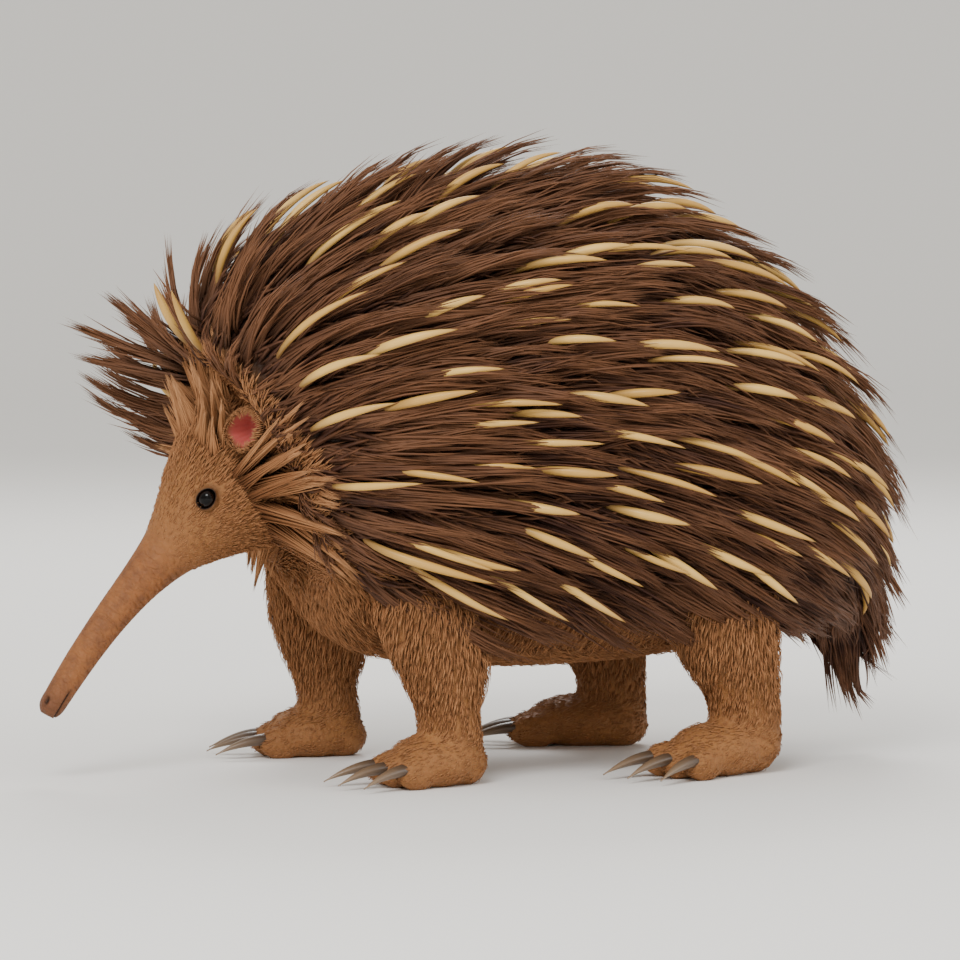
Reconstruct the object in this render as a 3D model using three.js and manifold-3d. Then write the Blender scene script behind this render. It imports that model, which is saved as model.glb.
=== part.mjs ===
// A long-beaked echidna standing on its four feet: a still, life-size museum model.
// Units are millimetres. +Z is up, the animal faces -X and its left side is towards -Y.
// The origin is on the floor, under the middle of the model's box.

import * as THREE from "three";
import { mergeVertices } from "three/addons/utils/BufferGeometryUtils.js";
import Module from "manifold-3d";

const wasm = await Module();
wasm.setup();
const { lerp, smoothstep, clamp, degToRad } = THREE.MathUtils;

// Driving dimensions

const SEED = 20260;
const GAP = 0.3; // clear space between neighbouring nodes
const CENTRE_SHIFT = 13.7; // moves the design along X so that the origin is under the middle

// The trunk's skin from the nape to the tip of the tail. Each station is one rib:
// where it meets the back and the belly in the middle plane (x, z), and its half width.
const TRUNK = [
  { name: "nape", back: [-154, 202], belly: [-103, 124], half: 46 },
  { name: "collar", back: [-168, 231], belly: [-104, 90], half: 74 },
  { name: "shoulder", back: [-131, 268], belly: [-86, 68], half: 94 },
  { name: "withers", back: [-66, 291], belly: [-48, 58], half: 104 },
  { name: "back", back: [0, 300], belly: [0, 55], half: 108 },
  { name: "loin", back: [60, 294], belly: [48, 56], half: 108 },
  { name: "croup", back: [112, 264], belly: [90, 60], half: 103 },
  { name: "rump", back: [155, 222], belly: [124, 68], half: 93 },
  { name: "haunch", back: [184, 166], belly: [150, 78], half: 72 },
  { name: "tail_root", back: [195, 116], belly: [170, 86], half: 40 },
  { name: "tail", back: [204, 88], belly: [185, 70], half: 24 },
  { name: "tail_tip", back: [204, 68], belly: [196, 58], half: 12 },
];
const TRUNK_SIDES = 24;
const PEAR = 0.08; // the trunk is this share wider low down than high up
const NECK_END = 1.5; // station, counted along TRUNK, where the neck meets the torso
const TAIL_START = 9; // station where the torso meets the tail

// The coat of long hair over neck, torso and tail
const COAT_DEPTH = 24; // from the skin to the tips of the locks
const CORE_DEPTH = 10; // the closed underlayer of the coat, less than half of COAT_DEPTH
const BELLY_DEPTH = 2; // short fur below the hem
const HEM = degToRad(133); // the coat ends this far round from the back
const HEM_BLEND = degToRad(16);

// Sizes of one lock or spine, and the pitch of the seats that carry them
const TORSO_COAT = { length: 77, width: 46, thick: 5.2, sink: 7, pitchAlong: 46, pitchRound: 50 };
const NECK_COAT = { length: 52, width: 30, thick: 5.2, sink: 7, pitchAlong: 24, pitchRound: 31 };
const TAIL_COAT = { length: 56, width: 36, thick: 5.2, sink: 7, pitchAlong: 34, pitchRound: 46 };
const SPINES = { length: 62, width: 6, thick: 6, sink: 9, pitchAlong: 66, pitchRound: 70 };
const SPINE_LEAD = 3; // the spines' tips stand this far above the locks
const LOCK_STEPS = [0, 0.36, 0.74, 1];

// The brown ruff of the crown and cheeks
const FRINGE = { from: 10.9, to: 12, reach: 2.6, pitchAlong: 13, pitchRound: 29 };
const FRINGE_LOCK = { crown: 26, cheek: 38, width: 17, thick: 3.4, sink: 4 };

// The head runs along a circular arc from the beak's tip back to the nape
const BEAK_TIP = [-248, 34];
const BEAK_PITCH = degToRad(60); // how steeply the beak's tip points down
const HEAD_ARC = 382; // radius of the arc
const HEAD = [
  // distance from the beak's tip, then the skin above, below and beside the arc
  { s: 0.0, up: 2.6, down: 2.4, half: 2.8 },
  { s: 1.4, up: 4.6, down: 4.2, half: 4.8 },
  { s: 4.5, up: 6.3, down: 5.8, half: 6.5 },
  { s: 10, up: 6.9, down: 6.6, half: 7.1 },
  { s: 30, up: 7.6, down: 7.6, half: 7.8 },
  { s: 60, up: 8.9, down: 9.0, half: 9.0 },
  { s: 85, up: 11.0, down: 11.2, half: 11.0 },
  { s: 105, up: 15.0, down: 15.0, half: 14.6 },
  { s: 120, up: 22.0, down: 20.0, half: 20.5 },
  { s: 135, up: 31.0, down: 26.0, half: 27.5 },
  { s: 150, up: 39.0, down: 33.0, half: 34.5 },
  { s: 165, up: 45.0, down: 40.0, half: 41.0 },
  { s: 177, up: 48.0, down: 45.0, half: 46.0 },
  { s: 190, up: 52.0, down: 49.0, half: 51.0 },
];
const HEAD_SIDES = 16;
const BEAK_LENGTH = 108; // where the bare beak ends and the furred face starts
const FACE_FUR = 2;

// Eyes, lids, ears and the marks of the beak. Places are counted along HEAD,
// angles are measured round from the top of the head.
const EYE = { at: 8.9, angle: degToRad(70), radius: 6.2, sunk: 4 };
const LID = { ring: 5.9, thick: 1.6, tall: 0.84 };
const EAR = { at: 11.5, angle: degToRad(58), height: 25, width: 19, wall: 2, depth: 12 };
const MOUTH = { length: 17, drop: 2.2, slot: 0.8 };
const NOSTRIL = { at: 2.6, angle: degToRad(38), long: 2.6, wide: 1.1, deep: 1.6 };

// Legs: horizontal rings from inside the trunk down to the ankle.
// x runs back from the leg's own place, out runs away from the middle plane.
const ANKLE = 31; // height where the leg meets the foot
const FRONT_LEG = {
  x: -66,
  rings: [
    { z: 116, x: -8, out: 56, rx: 31, ry: 23 },
    { z: 94, x: -6, out: 65, rx: 29, ry: 23 },
    { z: 72, x: -3, out: 72, rx: 26, ry: 20.5 },
    { z: 54, x: 0, out: 76, rx: 21.5, ry: 18 },
    { z: 38, x: 1, out: 77, rx: 16.5, ry: 17 },
    { z: 20, x: 3, out: 77, rx: 17, ry: 17.5 },
    { z: 10, x: 3, out: 77, rx: 17, ry: 17.5 },
  ],
  foot: { out: 77, turn: degToRad(12), sole: [-8, 27, 21.5, 14.5], heel: [8, 15, 15, 13] },
  toes: { reach: -27, spread: 13, long: 13.5, wide: 8.2, high: 9.6, fan: degToRad(11) },
  claw: { length: 29, wide: 4.0, high: 3.3, drop: 7.2 },
};
const HIND_LEG = {
  x: 92,
  rings: [
    { z: 132, x: 2, out: 50, rx: 40, ry: 26 },
    { z: 104, x: -2, out: 62, rx: 36, ry: 25 },
    { z: 80, x: -4, out: 71, rx: 31, ry: 23 },
    { z: 58, x: 0, out: 76, rx: 25, ry: 20 },
    { z: 40, x: 6, out: 77, rx: 19.5, ry: 18 },
    { z: 20, x: 8, out: 77, rx: 19, ry: 18 },
    { z: 10, x: 8, out: 77, rx: 19, ry: 18 },
  ],
  foot: { out: 77, turn: degToRad(24), sole: [-10, 34, 21.5, 15], heel: [10, 17, 17, 14] },
  toes: { reach: -37, spread: 13.5, long: 15, wide: 8.6, high: 9.8, fan: degToRad(10) },
  claw: { length: 32, wide: 4.2, high: 3.4, drop: 7.4 },
};
const LEG_SIDES = 12;
const CLAW_STEPS = [0, 0.45, 0.8, 1];
const CLAW_SIDES = 5;
const STRIDE = 7; // the right feet stand this far ahead, the left ones this far behind
const TOES = [-1, 0, 1];
const SIDES = [["left", -1], ["right", 1]];
const LEGS = [["front", FRONT_LEG], ["hind", HIND_LEG]];

// Random draws, the same on every run

function randomFrom(seed) {
  let state = seed >>> 0;
  return () => {
    state = (state + 0x6d2b79f5) >>> 0;
    let t = Math.imul(state ^ (state >>> 15), state | 1);
    t ^= t + Math.imul(t ^ (t >>> 7), t | 61);
    return ((t ^ (t >>> 14)) >>> 0) / 4294967296;
  };
}
const random = randomFrom(SEED);
const spread = (amount) => amount * (2 * random() - 1);

// Solids

// A closed geometry as a solid that can be joined and cut
function solid(geometry) {
  const bare = geometry.clone();
  bare.deleteAttribute("normal");
  bare.deleteAttribute("uv");
  const merged = mergeVertices(bare, 1e-4);
  const index = merged.index.array;
  const faces = [];
  for (let i = 0; i < index.length; i += 3) {
    const [a, b, c] = [index[i], index[i + 1], index[i + 2]];
    if (a !== b && b !== c && c !== a) {
      faces.push(a, b, c);
    }
  }
  const vertProperties = new Float32Array(merged.attributes.position.array);
  const triVerts = new Uint32Array(faces);
  const made = new wasm.Manifold(new wasm.Mesh({ numProp: 3, vertProperties, triVerts }));
  if (made.volume() >= 0) {
    return made;
  }
  for (let i = 0; i < triVerts.length; i += 3) {
    [triVerts[i + 1], triVerts[i + 2]] = [triVerts[i + 2], triVerts[i + 1]];
  }
  return new wasm.Manifold(new wasm.Mesh({ numProp: 3, vertProperties, triVerts }));
}

// A skin stretched over rings of points. An end ring of one point closes to a tip, any other to a flat fan.
function loft(rings) {
  const points = [];
  const starts = rings.map((ring) => {
    points.push(...ring);
    return points.length - ring.length;
  });
  const faces = [];
  for (let i = 0; i + 1 < rings.length; i++) {
    const [near, far] = [rings[i], rings[i + 1]];
    const count = Math.max(near.length, far.length);
    for (let j = 0; j < count; j++) {
      const k = (j + 1) % count;
      const a = starts[i] + (near.length > 1 ? j : 0);
      const b = starts[i] + (near.length > 1 ? k : 0);
      const c = starts[i + 1] + (far.length > 1 ? k : 0);
      const d = starts[i + 1] + (far.length > 1 ? j : 0);
      if (near.length > 1) {
        faces.push(a, b, c);
      }
      if (far.length > 1) {
        faces.push(a, c, d);
      }
    }
  }
  for (const [i, turned] of [[0, true], [rings.length - 1, false]]) {
    const ring = rings[i];
    if (ring.length === 1) {
      continue;
    }
    const middle = ring.reduce((sum, p) => sum.add(p), new THREE.Vector3()).divideScalar(ring.length);
    points.push(middle);
    for (let j = 0; j < ring.length; j++) {
      const [a, b] = [starts[i] + j, starts[i] + ((j + 1) % ring.length)];
      faces.push(points.length - 1, turned ? b : a, turned ? a : b);
    }
  }
  const geometry = new THREE.BufferGeometry().setFromPoints(points);
  geometry.setIndex(faces);
  return solid(geometry);
}

const join = (shapes) => wasm.Manifold.union(shapes);
const cut = (shape, tools) => shape.subtract(join(tools));
const largest = (shape) => shape.decompose().sort((a, b) => b.volume() - a.volume())[0];
const turn = (shape, angle) => shape.rotate([0, 0, THREE.MathUtils.radToDeg(angle)]);

function blob(x, y, z, rx, ry, rz, around, down) {
  const ball = new THREE.SphereGeometry(1, around, down);
  ball.rotateX(Math.PI / 2);
  ball.scale(rx, ry, rz);
  ball.translate(x, y, z);
  return solid(ball);
}

// Keeps what lies behind a plane, towards the tail, half the gap away from it
function behind(shape, plane) {
  return shape.trimByPlane(plane.normal.toArray(), plane.offset + GAP / 2);
}

// Keeps what lies before a plane, towards the beak
function before(shape, plane) {
  return shape.trimByPlane(plane.normal.clone().negate().toArray(), GAP / 2 - plane.offset);
}

// Surfaces of the trunk and the head

const curveOf = (rows) => new THREE.SplineCurve(rows.map(([x, y]) => new THREE.Vector2(x, y)));
const backCurve = curveOf(TRUNK.map((station) => station.back));
const bellyCurve = curveOf(TRUNK.map((station) => station.belly));
const trunkHalf = curveOf(TRUNK.map((station, i) => [i, station.half]));
const LAST_RIB = TRUNK.length - 1;
const headUp = curveOf(HEAD.map((ring) => [ring.s, ring.up]));
const headDown = curveOf(HEAD.map((ring) => [ring.s, ring.down]));
const headHalf = curveOf(HEAD.map((ring) => [ring.s, ring.half]));
const LAST_RING = HEAD.length - 1;

// The middle of rib k, with the half rib as a vector towards the back
function rib(k) {
  const t = clamp(k / LAST_RIB, 0, 1);
  const [back, belly] = [backCurve.getPoint(t), bellyCurve.getPoint(t)];
  const middle = new THREE.Vector3((back.x + belly.x) / 2, 0, (back.y + belly.y) / 2);
  const rise = new THREE.Vector3((back.x - belly.x) / 2, 0, (back.y - belly.y) / 2);
  return { middle, rise, half: trunkHalf.getPoint(t).y };
}

// A point at angle phi round rib k, positive on the left side, grow outside the skin
function trunkPoint(k, phi, grow) {
  const { middle, rise, half } = rib(k);
  const pear = PEAR * smoothstep(k, 0, 2) * Math.cos(phi);
  const radius = rise.length();
  const point = middle.clone().addScaledVector(rise, ((radius + grow) / radius) * Math.cos(phi));
  point.y = -(half + grow) * Math.sin(phi) * (1 - pear);
  return point;
}

// How far the coat's closed underlayer stands off the skin
function coreDepth(k, phi) {
  const along = smoothstep(k, 0, 1.2) * (1 - 0.4 * smoothstep(k, TAIL_START - 1, LAST_RIB));
  const round = 1 - smoothstep(Math.abs(phi), HEM - HEM_BLEND, HEM + HEM_BLEND);
  return BELLY_DEPTH + (CORE_DEPTH - BELLY_DEPTH) * along * round;
}
const trunkCore = (k, phi, grow = 0) => trunkPoint(k, phi, coreDepth(k, phi) + grow);

// The head's arc at distance s from the beak's tip: a point, the way back along it, and the way up
function headArc(s) {
  const pitch = BEAK_PITCH - s / HEAD_ARC;
  return {
    middle: new THREE.Vector3(
      BEAK_TIP[0] + HEAD_ARC * (Math.sin(BEAK_PITCH) - Math.sin(pitch)),
      0,
      BEAK_TIP[1] + HEAD_ARC * (Math.cos(pitch) - Math.cos(BEAK_PITCH)),
    ),
    back: new THREE.Vector3(Math.cos(pitch), 0, Math.sin(pitch)),
    up: new THREE.Vector3(-Math.sin(pitch), 0, Math.cos(pitch)),
  };
}

// A point at angle phi round the head, k counted along HEAD
function headPoint(k, phi, grow) {
  const t = clamp(k / LAST_RING, 0, 1);
  const [up, down, half] = [headUp, headDown, headHalf].map((curve) => curve.getPoint(t));
  const arc = headArc(up.x);
  const raise = (up.y - down.y) / 2 + ((up.y + down.y) / 2 + grow) * Math.cos(phi);
  const point = arc.middle.addScaledVector(arc.up, raise);
  point.y = -(half.y + grow) * Math.sin(phi);
  return point;
}
const faceFur = (k) => FACE_FUR * smoothstep(k, 6, 9);
const headSkin = (k, phi) => headPoint(k, phi, 0);
const headCore = (k, phi, grow = 0) => headPoint(k, phi, faceFur(k) + grow);

// The plane of rib k, or across the head's arc, with its normal pointing back along the body
function ribPlane(k) {
  const { middle, rise } = rib(k);
  const normal = new THREE.Vector3(rise.z, 0, -rise.x).normalize();
  return { normal, offset: normal.dot(middle) };
}
function headPlane(s) {
  const { middle, back } = headArc(s);
  return { normal: back, offset: back.dot(middle) };
}

const moved = (plane, step) => ({ ...plane, offset: plane.offset + step });

// Stations from 0 to last, closer together up to twice the place called bend
function stationsTo(last, closeStep, wideStep, bend) {
  const stations = [];
  let k = 0;
  while (k < last) {
    stations.push(k);
    k += lerp(closeStep, wideStep, smoothstep(k, bend, 2 * bend));
  }
  return [...stations, last];
}

// A closed solid through rings of points of a surface
function tubeOf(surface, stations, sides, grow) {
  const around = Array.from({ length: sides }, (_, j) => ((2 * j) / sides - 1) * Math.PI);
  return loft(stations.map((k) => around.map((phi) => surface(k, phi, grow))));
}

// Locks and spines

// The surface at a seat: its point, the way back along the body, the way out, and how fast k and phi travel
function frameAt(surface, k, phi) {
  const step = 0.02;
  const along = surface(k + step, phi).sub(surface(k - step, phi));
  const round = surface(k, phi + step).sub(surface(k, phi - step));
  return {
    point: surface(k, phi),
    along: along.clone().normalize(),
    out: new THREE.Vector3().crossVectors(round, along).normalize(),
    perStation: along.length() / (2 * step),
    perRadian: round.length() / (2 * step),
  };
}

// The frame of a small form that sits on the surface, with its z axis pointing out
function seatMatrix({ point, along, out }) {
  const across = new THREE.Vector3().crossVectors(out, along).normalize();
  return new THREE.Matrix4().makeBasis(along, across, out).setPosition(point);
}

// The middle line of a lock. It starts sunk in its seat and lies between a line that follows
// the body and a straight one. Freedom is the share of the straight one.
function lockLine(surface, seat, length, steps) {
  const root = frameAt(surface, seat.k, seat.phi);
  const side = Math.sign(seat.phi) || 1;
  const [flat, rise] = [Math.cos(seat.lift) * length, Math.sin(seat.lift) * length];
  return steps.map((t) => {
    const k = seat.k + (t * flat) / root.perStation;
    const turned = Math.abs(seat.phi) + (t * seat.droop * flat) / root.perRadian;
    const under = frameAt(surface, k, side * Math.min(turned, Math.PI - 0.05));
    const onBody = under.point.addScaledVector(under.out, lerp(-seat.sink, seat.tip, t));
    const straight = root.point.clone();
    straight.addScaledVector(root.along, t * flat);
    straight.addScaledVector(root.out, t * rise - seat.sink);
    straight.z -= t * t * seat.droop * flat * smoothstep(Math.abs(seat.phi), 0.6, 1.4);
    return { point: onBody.lerp(straight, seat.freedom), out: root.out };
  });
}

// Rings of three points round a line: left edge, raised crown, right edge. No width gives a tip.
function ribbon(line, widths, thicks, arch) {
  return line.map(({ point, out }, i) => {
    const [earlier, later] = [line[Math.max(i - 1, 0)], line[Math.min(i + 1, line.length - 1)]];
    if (widths[i] <= 0) {
      return [point];
    }
    const way = later.point.clone().sub(earlier.point).normalize();
    const side = new THREE.Vector3().crossVectors(out, way).normalize();
    const up = new THREE.Vector3().crossVectors(way, side);
    const low = -arch * widths[i];
    return [
      point.clone().addScaledVector(side, widths[i] / 2).addScaledVector(up, low),
      point.clone().addScaledVector(up, thicks[i] + low / 2),
      point.clone().addScaledVector(side, -widths[i] / 2).addScaledVector(up, low),
    ];
  });
}

// A flat tapered lock of hair. Room makes it bigger all round, to cut clear space for it.
function lock(surface, seat, room = 0) {
  const line = lockLine(surface, seat, seat.length + 2 * room, LOCK_STEPS);
  for (const { point, out } of line) {
    point.addScaledVector(out, -1.5 * room);
  }
  const girth = (t) => (t < 1 ? seat.width * Math.sin(Math.PI * (0.28 + 0.72 * t)) ** 0.8 : 0);
  const bulk = (t) => (t < 1 ? seat.thick * (1 - 0.62 * t * t) : 0);
  const widths = LOCK_STEPS.map((t) => girth(t) + 12 * room);
  const thicks = LOCK_STEPS.map((t) => bulk(t) + 4 * room);
  return loft(ribbon(line, widths, thicks, 0.07));
}

// A stiff cream spine, a straight tapered cone of three sides
function spine(surface, seat) {
  const line = lockLine(surface, seat, seat.length, [0, 1]);
  return loft(ribbon(line, [seat.width, 0], [seat.width, 0], 0.25));
}

// Seats in rows along the surface, evenly spread round it up to the angle reach on both sides
function seatsOver(surface, from, to, reach, { pitchAlong, pitchRound }) {
  const seats = [];
  let k = from;
  for (let row = 0; k < to; row++) {
    const frame = frameAt(surface, k, Math.PI / 3);
    const count = Math.max(3, Math.round((2 * reach * frame.perRadian) / pitchRound));
    const shift = row % 2 ? 0.5 : 0;
    for (let j = 0; j + shift <= count; j++) {
      const phi = reach * ((2 * (j + shift)) / count - 1);
      seats.push({ k: k + spread(0.12), phi: phi + spread(0.05) });
    }
    k += pitchAlong / frame.perStation;
  }
  return seats;
}

// How steeply the coat stands off the body: raised like a hood behind the head, lying down over the back
const coatLift = (k) => degToRad(lerp(16, 27, smoothstep(k, 0.3, 1.2)) - 13 * smoothstep(k, 1, 2.4));
const coatFreedom = (k) => lerp(lerp(0.8, 0.24, smoothstep(k, 0.7, 1.8)), 0.5, smoothstep(k, 6, 8.5));

// The seat of one lock or spine with its sizes and the way it lies
function lockSeat({ k, phi }, size) {
  const low = smoothstep(Math.abs(phi), 1.5, HEM);
  const flank = smoothstep(Math.abs(phi), 0.5, 1.3) * (1 - smoothstep(k, 1.5, 4));
  return {
    k,
    phi,
    lift: coatLift(k) + spread(0.05),
    freedom: coatFreedom(k) * lerp(1, 0.45, flank),
    droop: lerp(0.1, 0.36, low) + spread(0.08),
    sink: size.sink,
    tip: COAT_DEPTH - CORE_DEPTH,
    length: size.length * (1 + spread(0.14)),
    width: size.width * (1 + spread(0.12)),
    thick: size.thick,
  };
}

// Nodes

const looks = {
  coat: new THREE.MeshStandardMaterial({ color: 0x53362a, roughness: 0.85, metalness: 0 }),
  face: new THREE.MeshStandardMaterial({ color: 0x9a6a44, roughness: 0.8, metalness: 0 }),
  beak: new THREE.MeshStandardMaterial({ color: 0x8a5f45, roughness: 0.6, metalness: 0 }),
  ear: new THREE.MeshStandardMaterial({ color: 0xa06a55, roughness: 0.65, metalness: 0 }),
  eye: new THREE.MeshStandardMaterial({ color: 0x0d0a09, roughness: 0.05, metalness: 0 }),
  claw: new THREE.MeshStandardMaterial({ color: 0x4a3a2e, roughness: 0.45, metalness: 0 }),
};
const animal = new THREE.Group();
animal.position.x = CENTRE_SHIFT;

function addNode(name, shape, material) {
  const mesh = largest(shape).getMesh();
  const geometry = new THREE.BufferGeometry();
  geometry.setAttribute("position", new THREE.BufferAttribute(mesh.vertProperties, 3));
  geometry.setIndex(new THREE.BufferAttribute(mesh.triVerts, 1));
  geometry.computeVertexNormals();
  const node = new THREE.Mesh(geometry, material);
  node.name = name;
  animal.add(node);
}

// Head, neck, torso and tail are parted by thin cuts along ribs
const [napePlane, neckPlane, tailPlane] = [0, NECK_END, TAIL_START].map(ribPlane);
const beakPlane = headPlane(BEAK_LENGTH);
const headStations = stationsTo(LAST_RING, 0.6, 0.9, 2);
const headTube = (room) => tubeOf(headCore, headStations, HEAD_SIDES, room);
const wholeHead = before(headTube(0), napePlane);
const headRoom = before(headTube(GAP), moved(napePlane, GAP));

// Neck, torso and tail share one underlayer
const trunkStations = stationsTo(LAST_RIB, 0.34, 0.74, 1);
const trunkTube = (room) => tubeOf(trunkCore, trunkStations, TRUNK_SIDES, room);
const trunk = cut(trunkTube(0), [headRoom]);
const trunkRoom = join([0, -2 * GAP].map((ahead) => trunkTube(1.5 * GAP).translate([ahead, 0, 0])));
const neckCore = before(trunk, neckPlane);
const torsoCore = before(behind(trunk, neckPlane), tailPlane);
const tailCore = behind(trunk, tailPlane);

// Legs, feet and claws

// A leg and its foot in one piece, with room added all round to clear space for it
function limb(leg, side, room = 0) {
  const x = leg.x - side * STRIDE;
  const { foot, toes } = leg;
  const rings = leg.rings.map((ring) =>
    Array.from({ length: LEG_SIDES }, (_, j) => {
      const angle = (2 * Math.PI * j) / LEG_SIDES;
      return new THREE.Vector3(
        x + ring.x + (ring.rx + room) * Math.cos(angle),
        side * ring.out + (ring.ry + room) * Math.sin(angle),
        ring.z,
      );
    }),
  );
  const bulk = ([at, rx, ry, rz], around) =>
    blob(at, 0, rz - 2, rx + room, ry + room, rz + room, around, 5);
  const parts = [bulk(foot.sole, 12), bulk(foot.heel, 8)];
  for (const toe of TOES) {
    const pad = blob(0, 0, 0, toes.long + room, toes.wide + room, toes.high + room, 8, 4);
    const fanned = turn(pad, -toe * toes.fan);
    parts.push(fanned.translate([toes.reach + 2.5 * Math.abs(toe), toe * toes.spread, toes.high - 1.2]));
  }
  const footShape = turn(join(parts), -side * foot.turn).translate([x, side * foot.out, 0]);
  return join([loft(rings), footShape]).trimByPlane([0, 0, 1], -room);
}

// A claw: a curved horn from inside its toe to just above the floor
function claw(leg, side, toe) {
  const { toes, foot } = leg;
  const size = leg.claw;
  const rings = CLAW_STEPS.map((t) => {
    const girth = Math.max(1 - t ** 1.7, 0.16);
    return Array.from({ length: CLAW_SIDES }, (_, j) => {
      const angle = (2 * Math.PI * j) / CLAW_SIDES;
      return new THREE.Vector3(
        -toes.long * 0.55 - size.length * t,
        size.wide * girth * Math.cos(angle),
        toes.high + 0.6 - size.drop * t * t + size.high * girth * Math.sin(angle),
      );
    });
  });
  const fanned = turn(loft(rings), -toe * toes.fan);
  const onFoot = fanned.translate([toes.reach + 2.5 * Math.abs(toe), toe * toes.spread, 0]);
  return turn(onFoot, -side * foot.turn).translate([leg.x - side * STRIDE, side * foot.out, 0]);
}

const limbRoom = [];
for (const [end, leg] of LEGS) {
  for (const [sideName, side] of SIDES) {
    const whole = limb(leg, side);
    const room = limb(leg, side, 1.3 * GAP);
    limbRoom.push(room);
    const upper = whole.trimByPlane([0, 0, 1], ANKLE + GAP / 2);
    addNode(`leg_${end}_${sideName}`, cut(upper, [trunkRoom]), looks.face);
    addNode(`foot_${end}_${sideName}`, whole.trimByPlane([0, 0, -1], GAP / 2 - ANKLE), looks.face);
    for (const toe of TOES) {
      addNode(`claw_${end}_${sideName}_${toe + 2}`, cut(claw(leg, side, toe), [room]), looks.claw);
    }
  }
}

// Beak, eyes and ears

function nostril(side) {
  const pit = new THREE.SphereGeometry(1, 8, 6);
  pit.scale(NOSTRIL.long, NOSTRIL.wide, NOSTRIL.deep);
  pit.applyMatrix4(seatMatrix(frameAt(headSkin, NOSTRIL.at, -side * NOSTRIL.angle)));
  return solid(pit);
}

// The mouth is a thin slot that runs back from the tip
function mouthSlot() {
  const rings = [-4, 4, 11, MOUTH.length].map((s) => {
    const { middle, up } = headArc(s);
    return [[1, 1], [-1, 1], [-1, -1], [1, -1]].map(([y, z]) =>
      middle.clone().addScaledVector(up, -MOUTH.drop + (z * MOUTH.slot) / 2).setY(y * 12),
    );
  });
  return loft(rings);
}

function eyeball(side, room = 0) {
  const seat = frameAt(headCore, EYE.at, -side * EYE.angle);
  const middle = seat.point.addScaledVector(seat.out, -EYE.sunk);
  const r = EYE.radius + room;
  return blob(middle.x, middle.y, middle.z, r, r, r, 12, 7);
}

function eyelid(side) {
  const ring = new THREE.TorusGeometry(LID.ring, LID.thick, 6, 16);
  ring.scale(1, LID.tall, 1);
  ring.applyMatrix4(seatMatrix(frameAt(headCore, EYE.at, -side * EYE.angle)));
  return solid(ring);
}

// An ear: a small round cup on a stem, turned out and a little forward
function ear(side, room = 0) {
  const seat = frameAt(headCore, EAR.at, -side * EAR.angle);
  const [r, d, w] = [EAR.height / 2 + room, EAR.depth + room, EAR.wall];
  const outline = [
    [0, -4 - room],
    [r * 0.5, -3 - room],
    [r * 0.85, d * 0.3],
    [r, d * 0.75],
    [r - w * 0.3, d],
    [r - w, d * 0.95],
    [r * 0.85 - w, d * 0.4],
    [r * 0.5 - w * 0.5, 0.5],
    [0, 0],
  ];
  const cup = new THREE.LatheGeometry(outline.map(([x, y]) => new THREE.Vector2(x, y)), 10);
  cup.rotateX(Math.PI / 2);
  cup.scale(1, EAR.width / EAR.height, 1);
  const facing = seat.out.clone().multiplyScalar(0.8).addScaledVector(seat.along, -0.6).normalize();
  const across = new THREE.Vector3().crossVectors(facing, seat.along).normalize();
  const tall = new THREE.Vector3().crossVectors(across, facing).normalize();
  const place = seat.point.addScaledVector(tall, 4).addScaledVector(seat.out, 1);
  cup.applyMatrix4(new THREE.Matrix4().makeBasis(tall, across, facing).setPosition(place));
  return solid(cup);
}

addNode("beak", cut(before(wholeHead, beakPlane), [mouthSlot(), nostril(-1), nostril(1)]), looks.beak);
for (const [sideName, side] of SIDES) {
  addNode(`eye_${sideName}`, eyeball(side), looks.eye);
  addNode(`ear_${sideName}`, cut(ear(side), [headTube(2 * GAP), trunkRoom]), looks.ear);
}
const earRoom = SIDES.map(([, side]) => ear(side, 4 * GAP).hull());

// The ruff of the crown and cheeks stands up round the back of the head
function fringeSeat({ k, phi }) {
  const cheek = smoothstep(Math.abs(phi), 0.7, 1.4);
  const length = lerp(FRINGE_LOCK.crown, FRINGE_LOCK.cheek, cheek) * (1 + spread(0.16));
  const lift = degToRad(lerp(62, 54, cheek));
  return { k, phi, lift, freedom: 1, droop: 0.1 * cheek, tip: 0, ...FRINGE_LOCK, length };
}
const locksOf = (surface, seats, room) => seats.map((seat) => lock(surface, seat, room));
const fringeSeats = seatsOver(headCore, FRINGE.from, FRINGE.to, FRINGE.reach, FRINGE).map(fringeSeat);
const fringe = cut(join(locksOf(headCore, fringeSeats)), [trunkRoom, ...earRoom]);
const fringeRoom = locksOf(headCore, fringeSeats, 1.5 * GAP);
const face = join([behind(wholeHead, beakPlane), eyelid(-1), eyelid(1), fringe]);
addNode("head", cut(face, [eyeball(-1, GAP), eyeball(1, GAP)]), looks.face);

// The coat grows from seats spread over the trunk. Each lock belongs to the node that it is rooted in.
const seatedOn = (from, to, reach, size) =>
  seatsOver(trunkCore, from, to, reach, size).map((seat) => lockSeat(seat, size));
const torsoSeats = seatedOn(NECK_END + 0.15, TAIL_START - 0.25, HEM, TORSO_COAT);
const neckSeats = seatedOn(0.5, NECK_END - 0.15, HEM - 0.1, NECK_COAT);
const tailSeats = seatedOn(TAIL_START + 0.4, LAST_RIB - 0.5, Math.PI - 0.3, TAIL_COAT).map((seat) => ({
  ...seat,
  freedom: 0.7,
}));
const spineSeats = seatedOn(NECK_END + 0.4, TAIL_START - 0.4, HEM - 0.2, SPINES).map((seat) => ({
  ...seat,
  tip: seat.tip + SPINE_LEAD,
}));

const neckCoat = cut(join(locksOf(trunkCore, neckSeats)), [headRoom, ...fringeRoom, ...earRoom]);
addNode("neck", cut(join([neckCore, neckCoat]), limbRoom), looks.coat);

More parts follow.
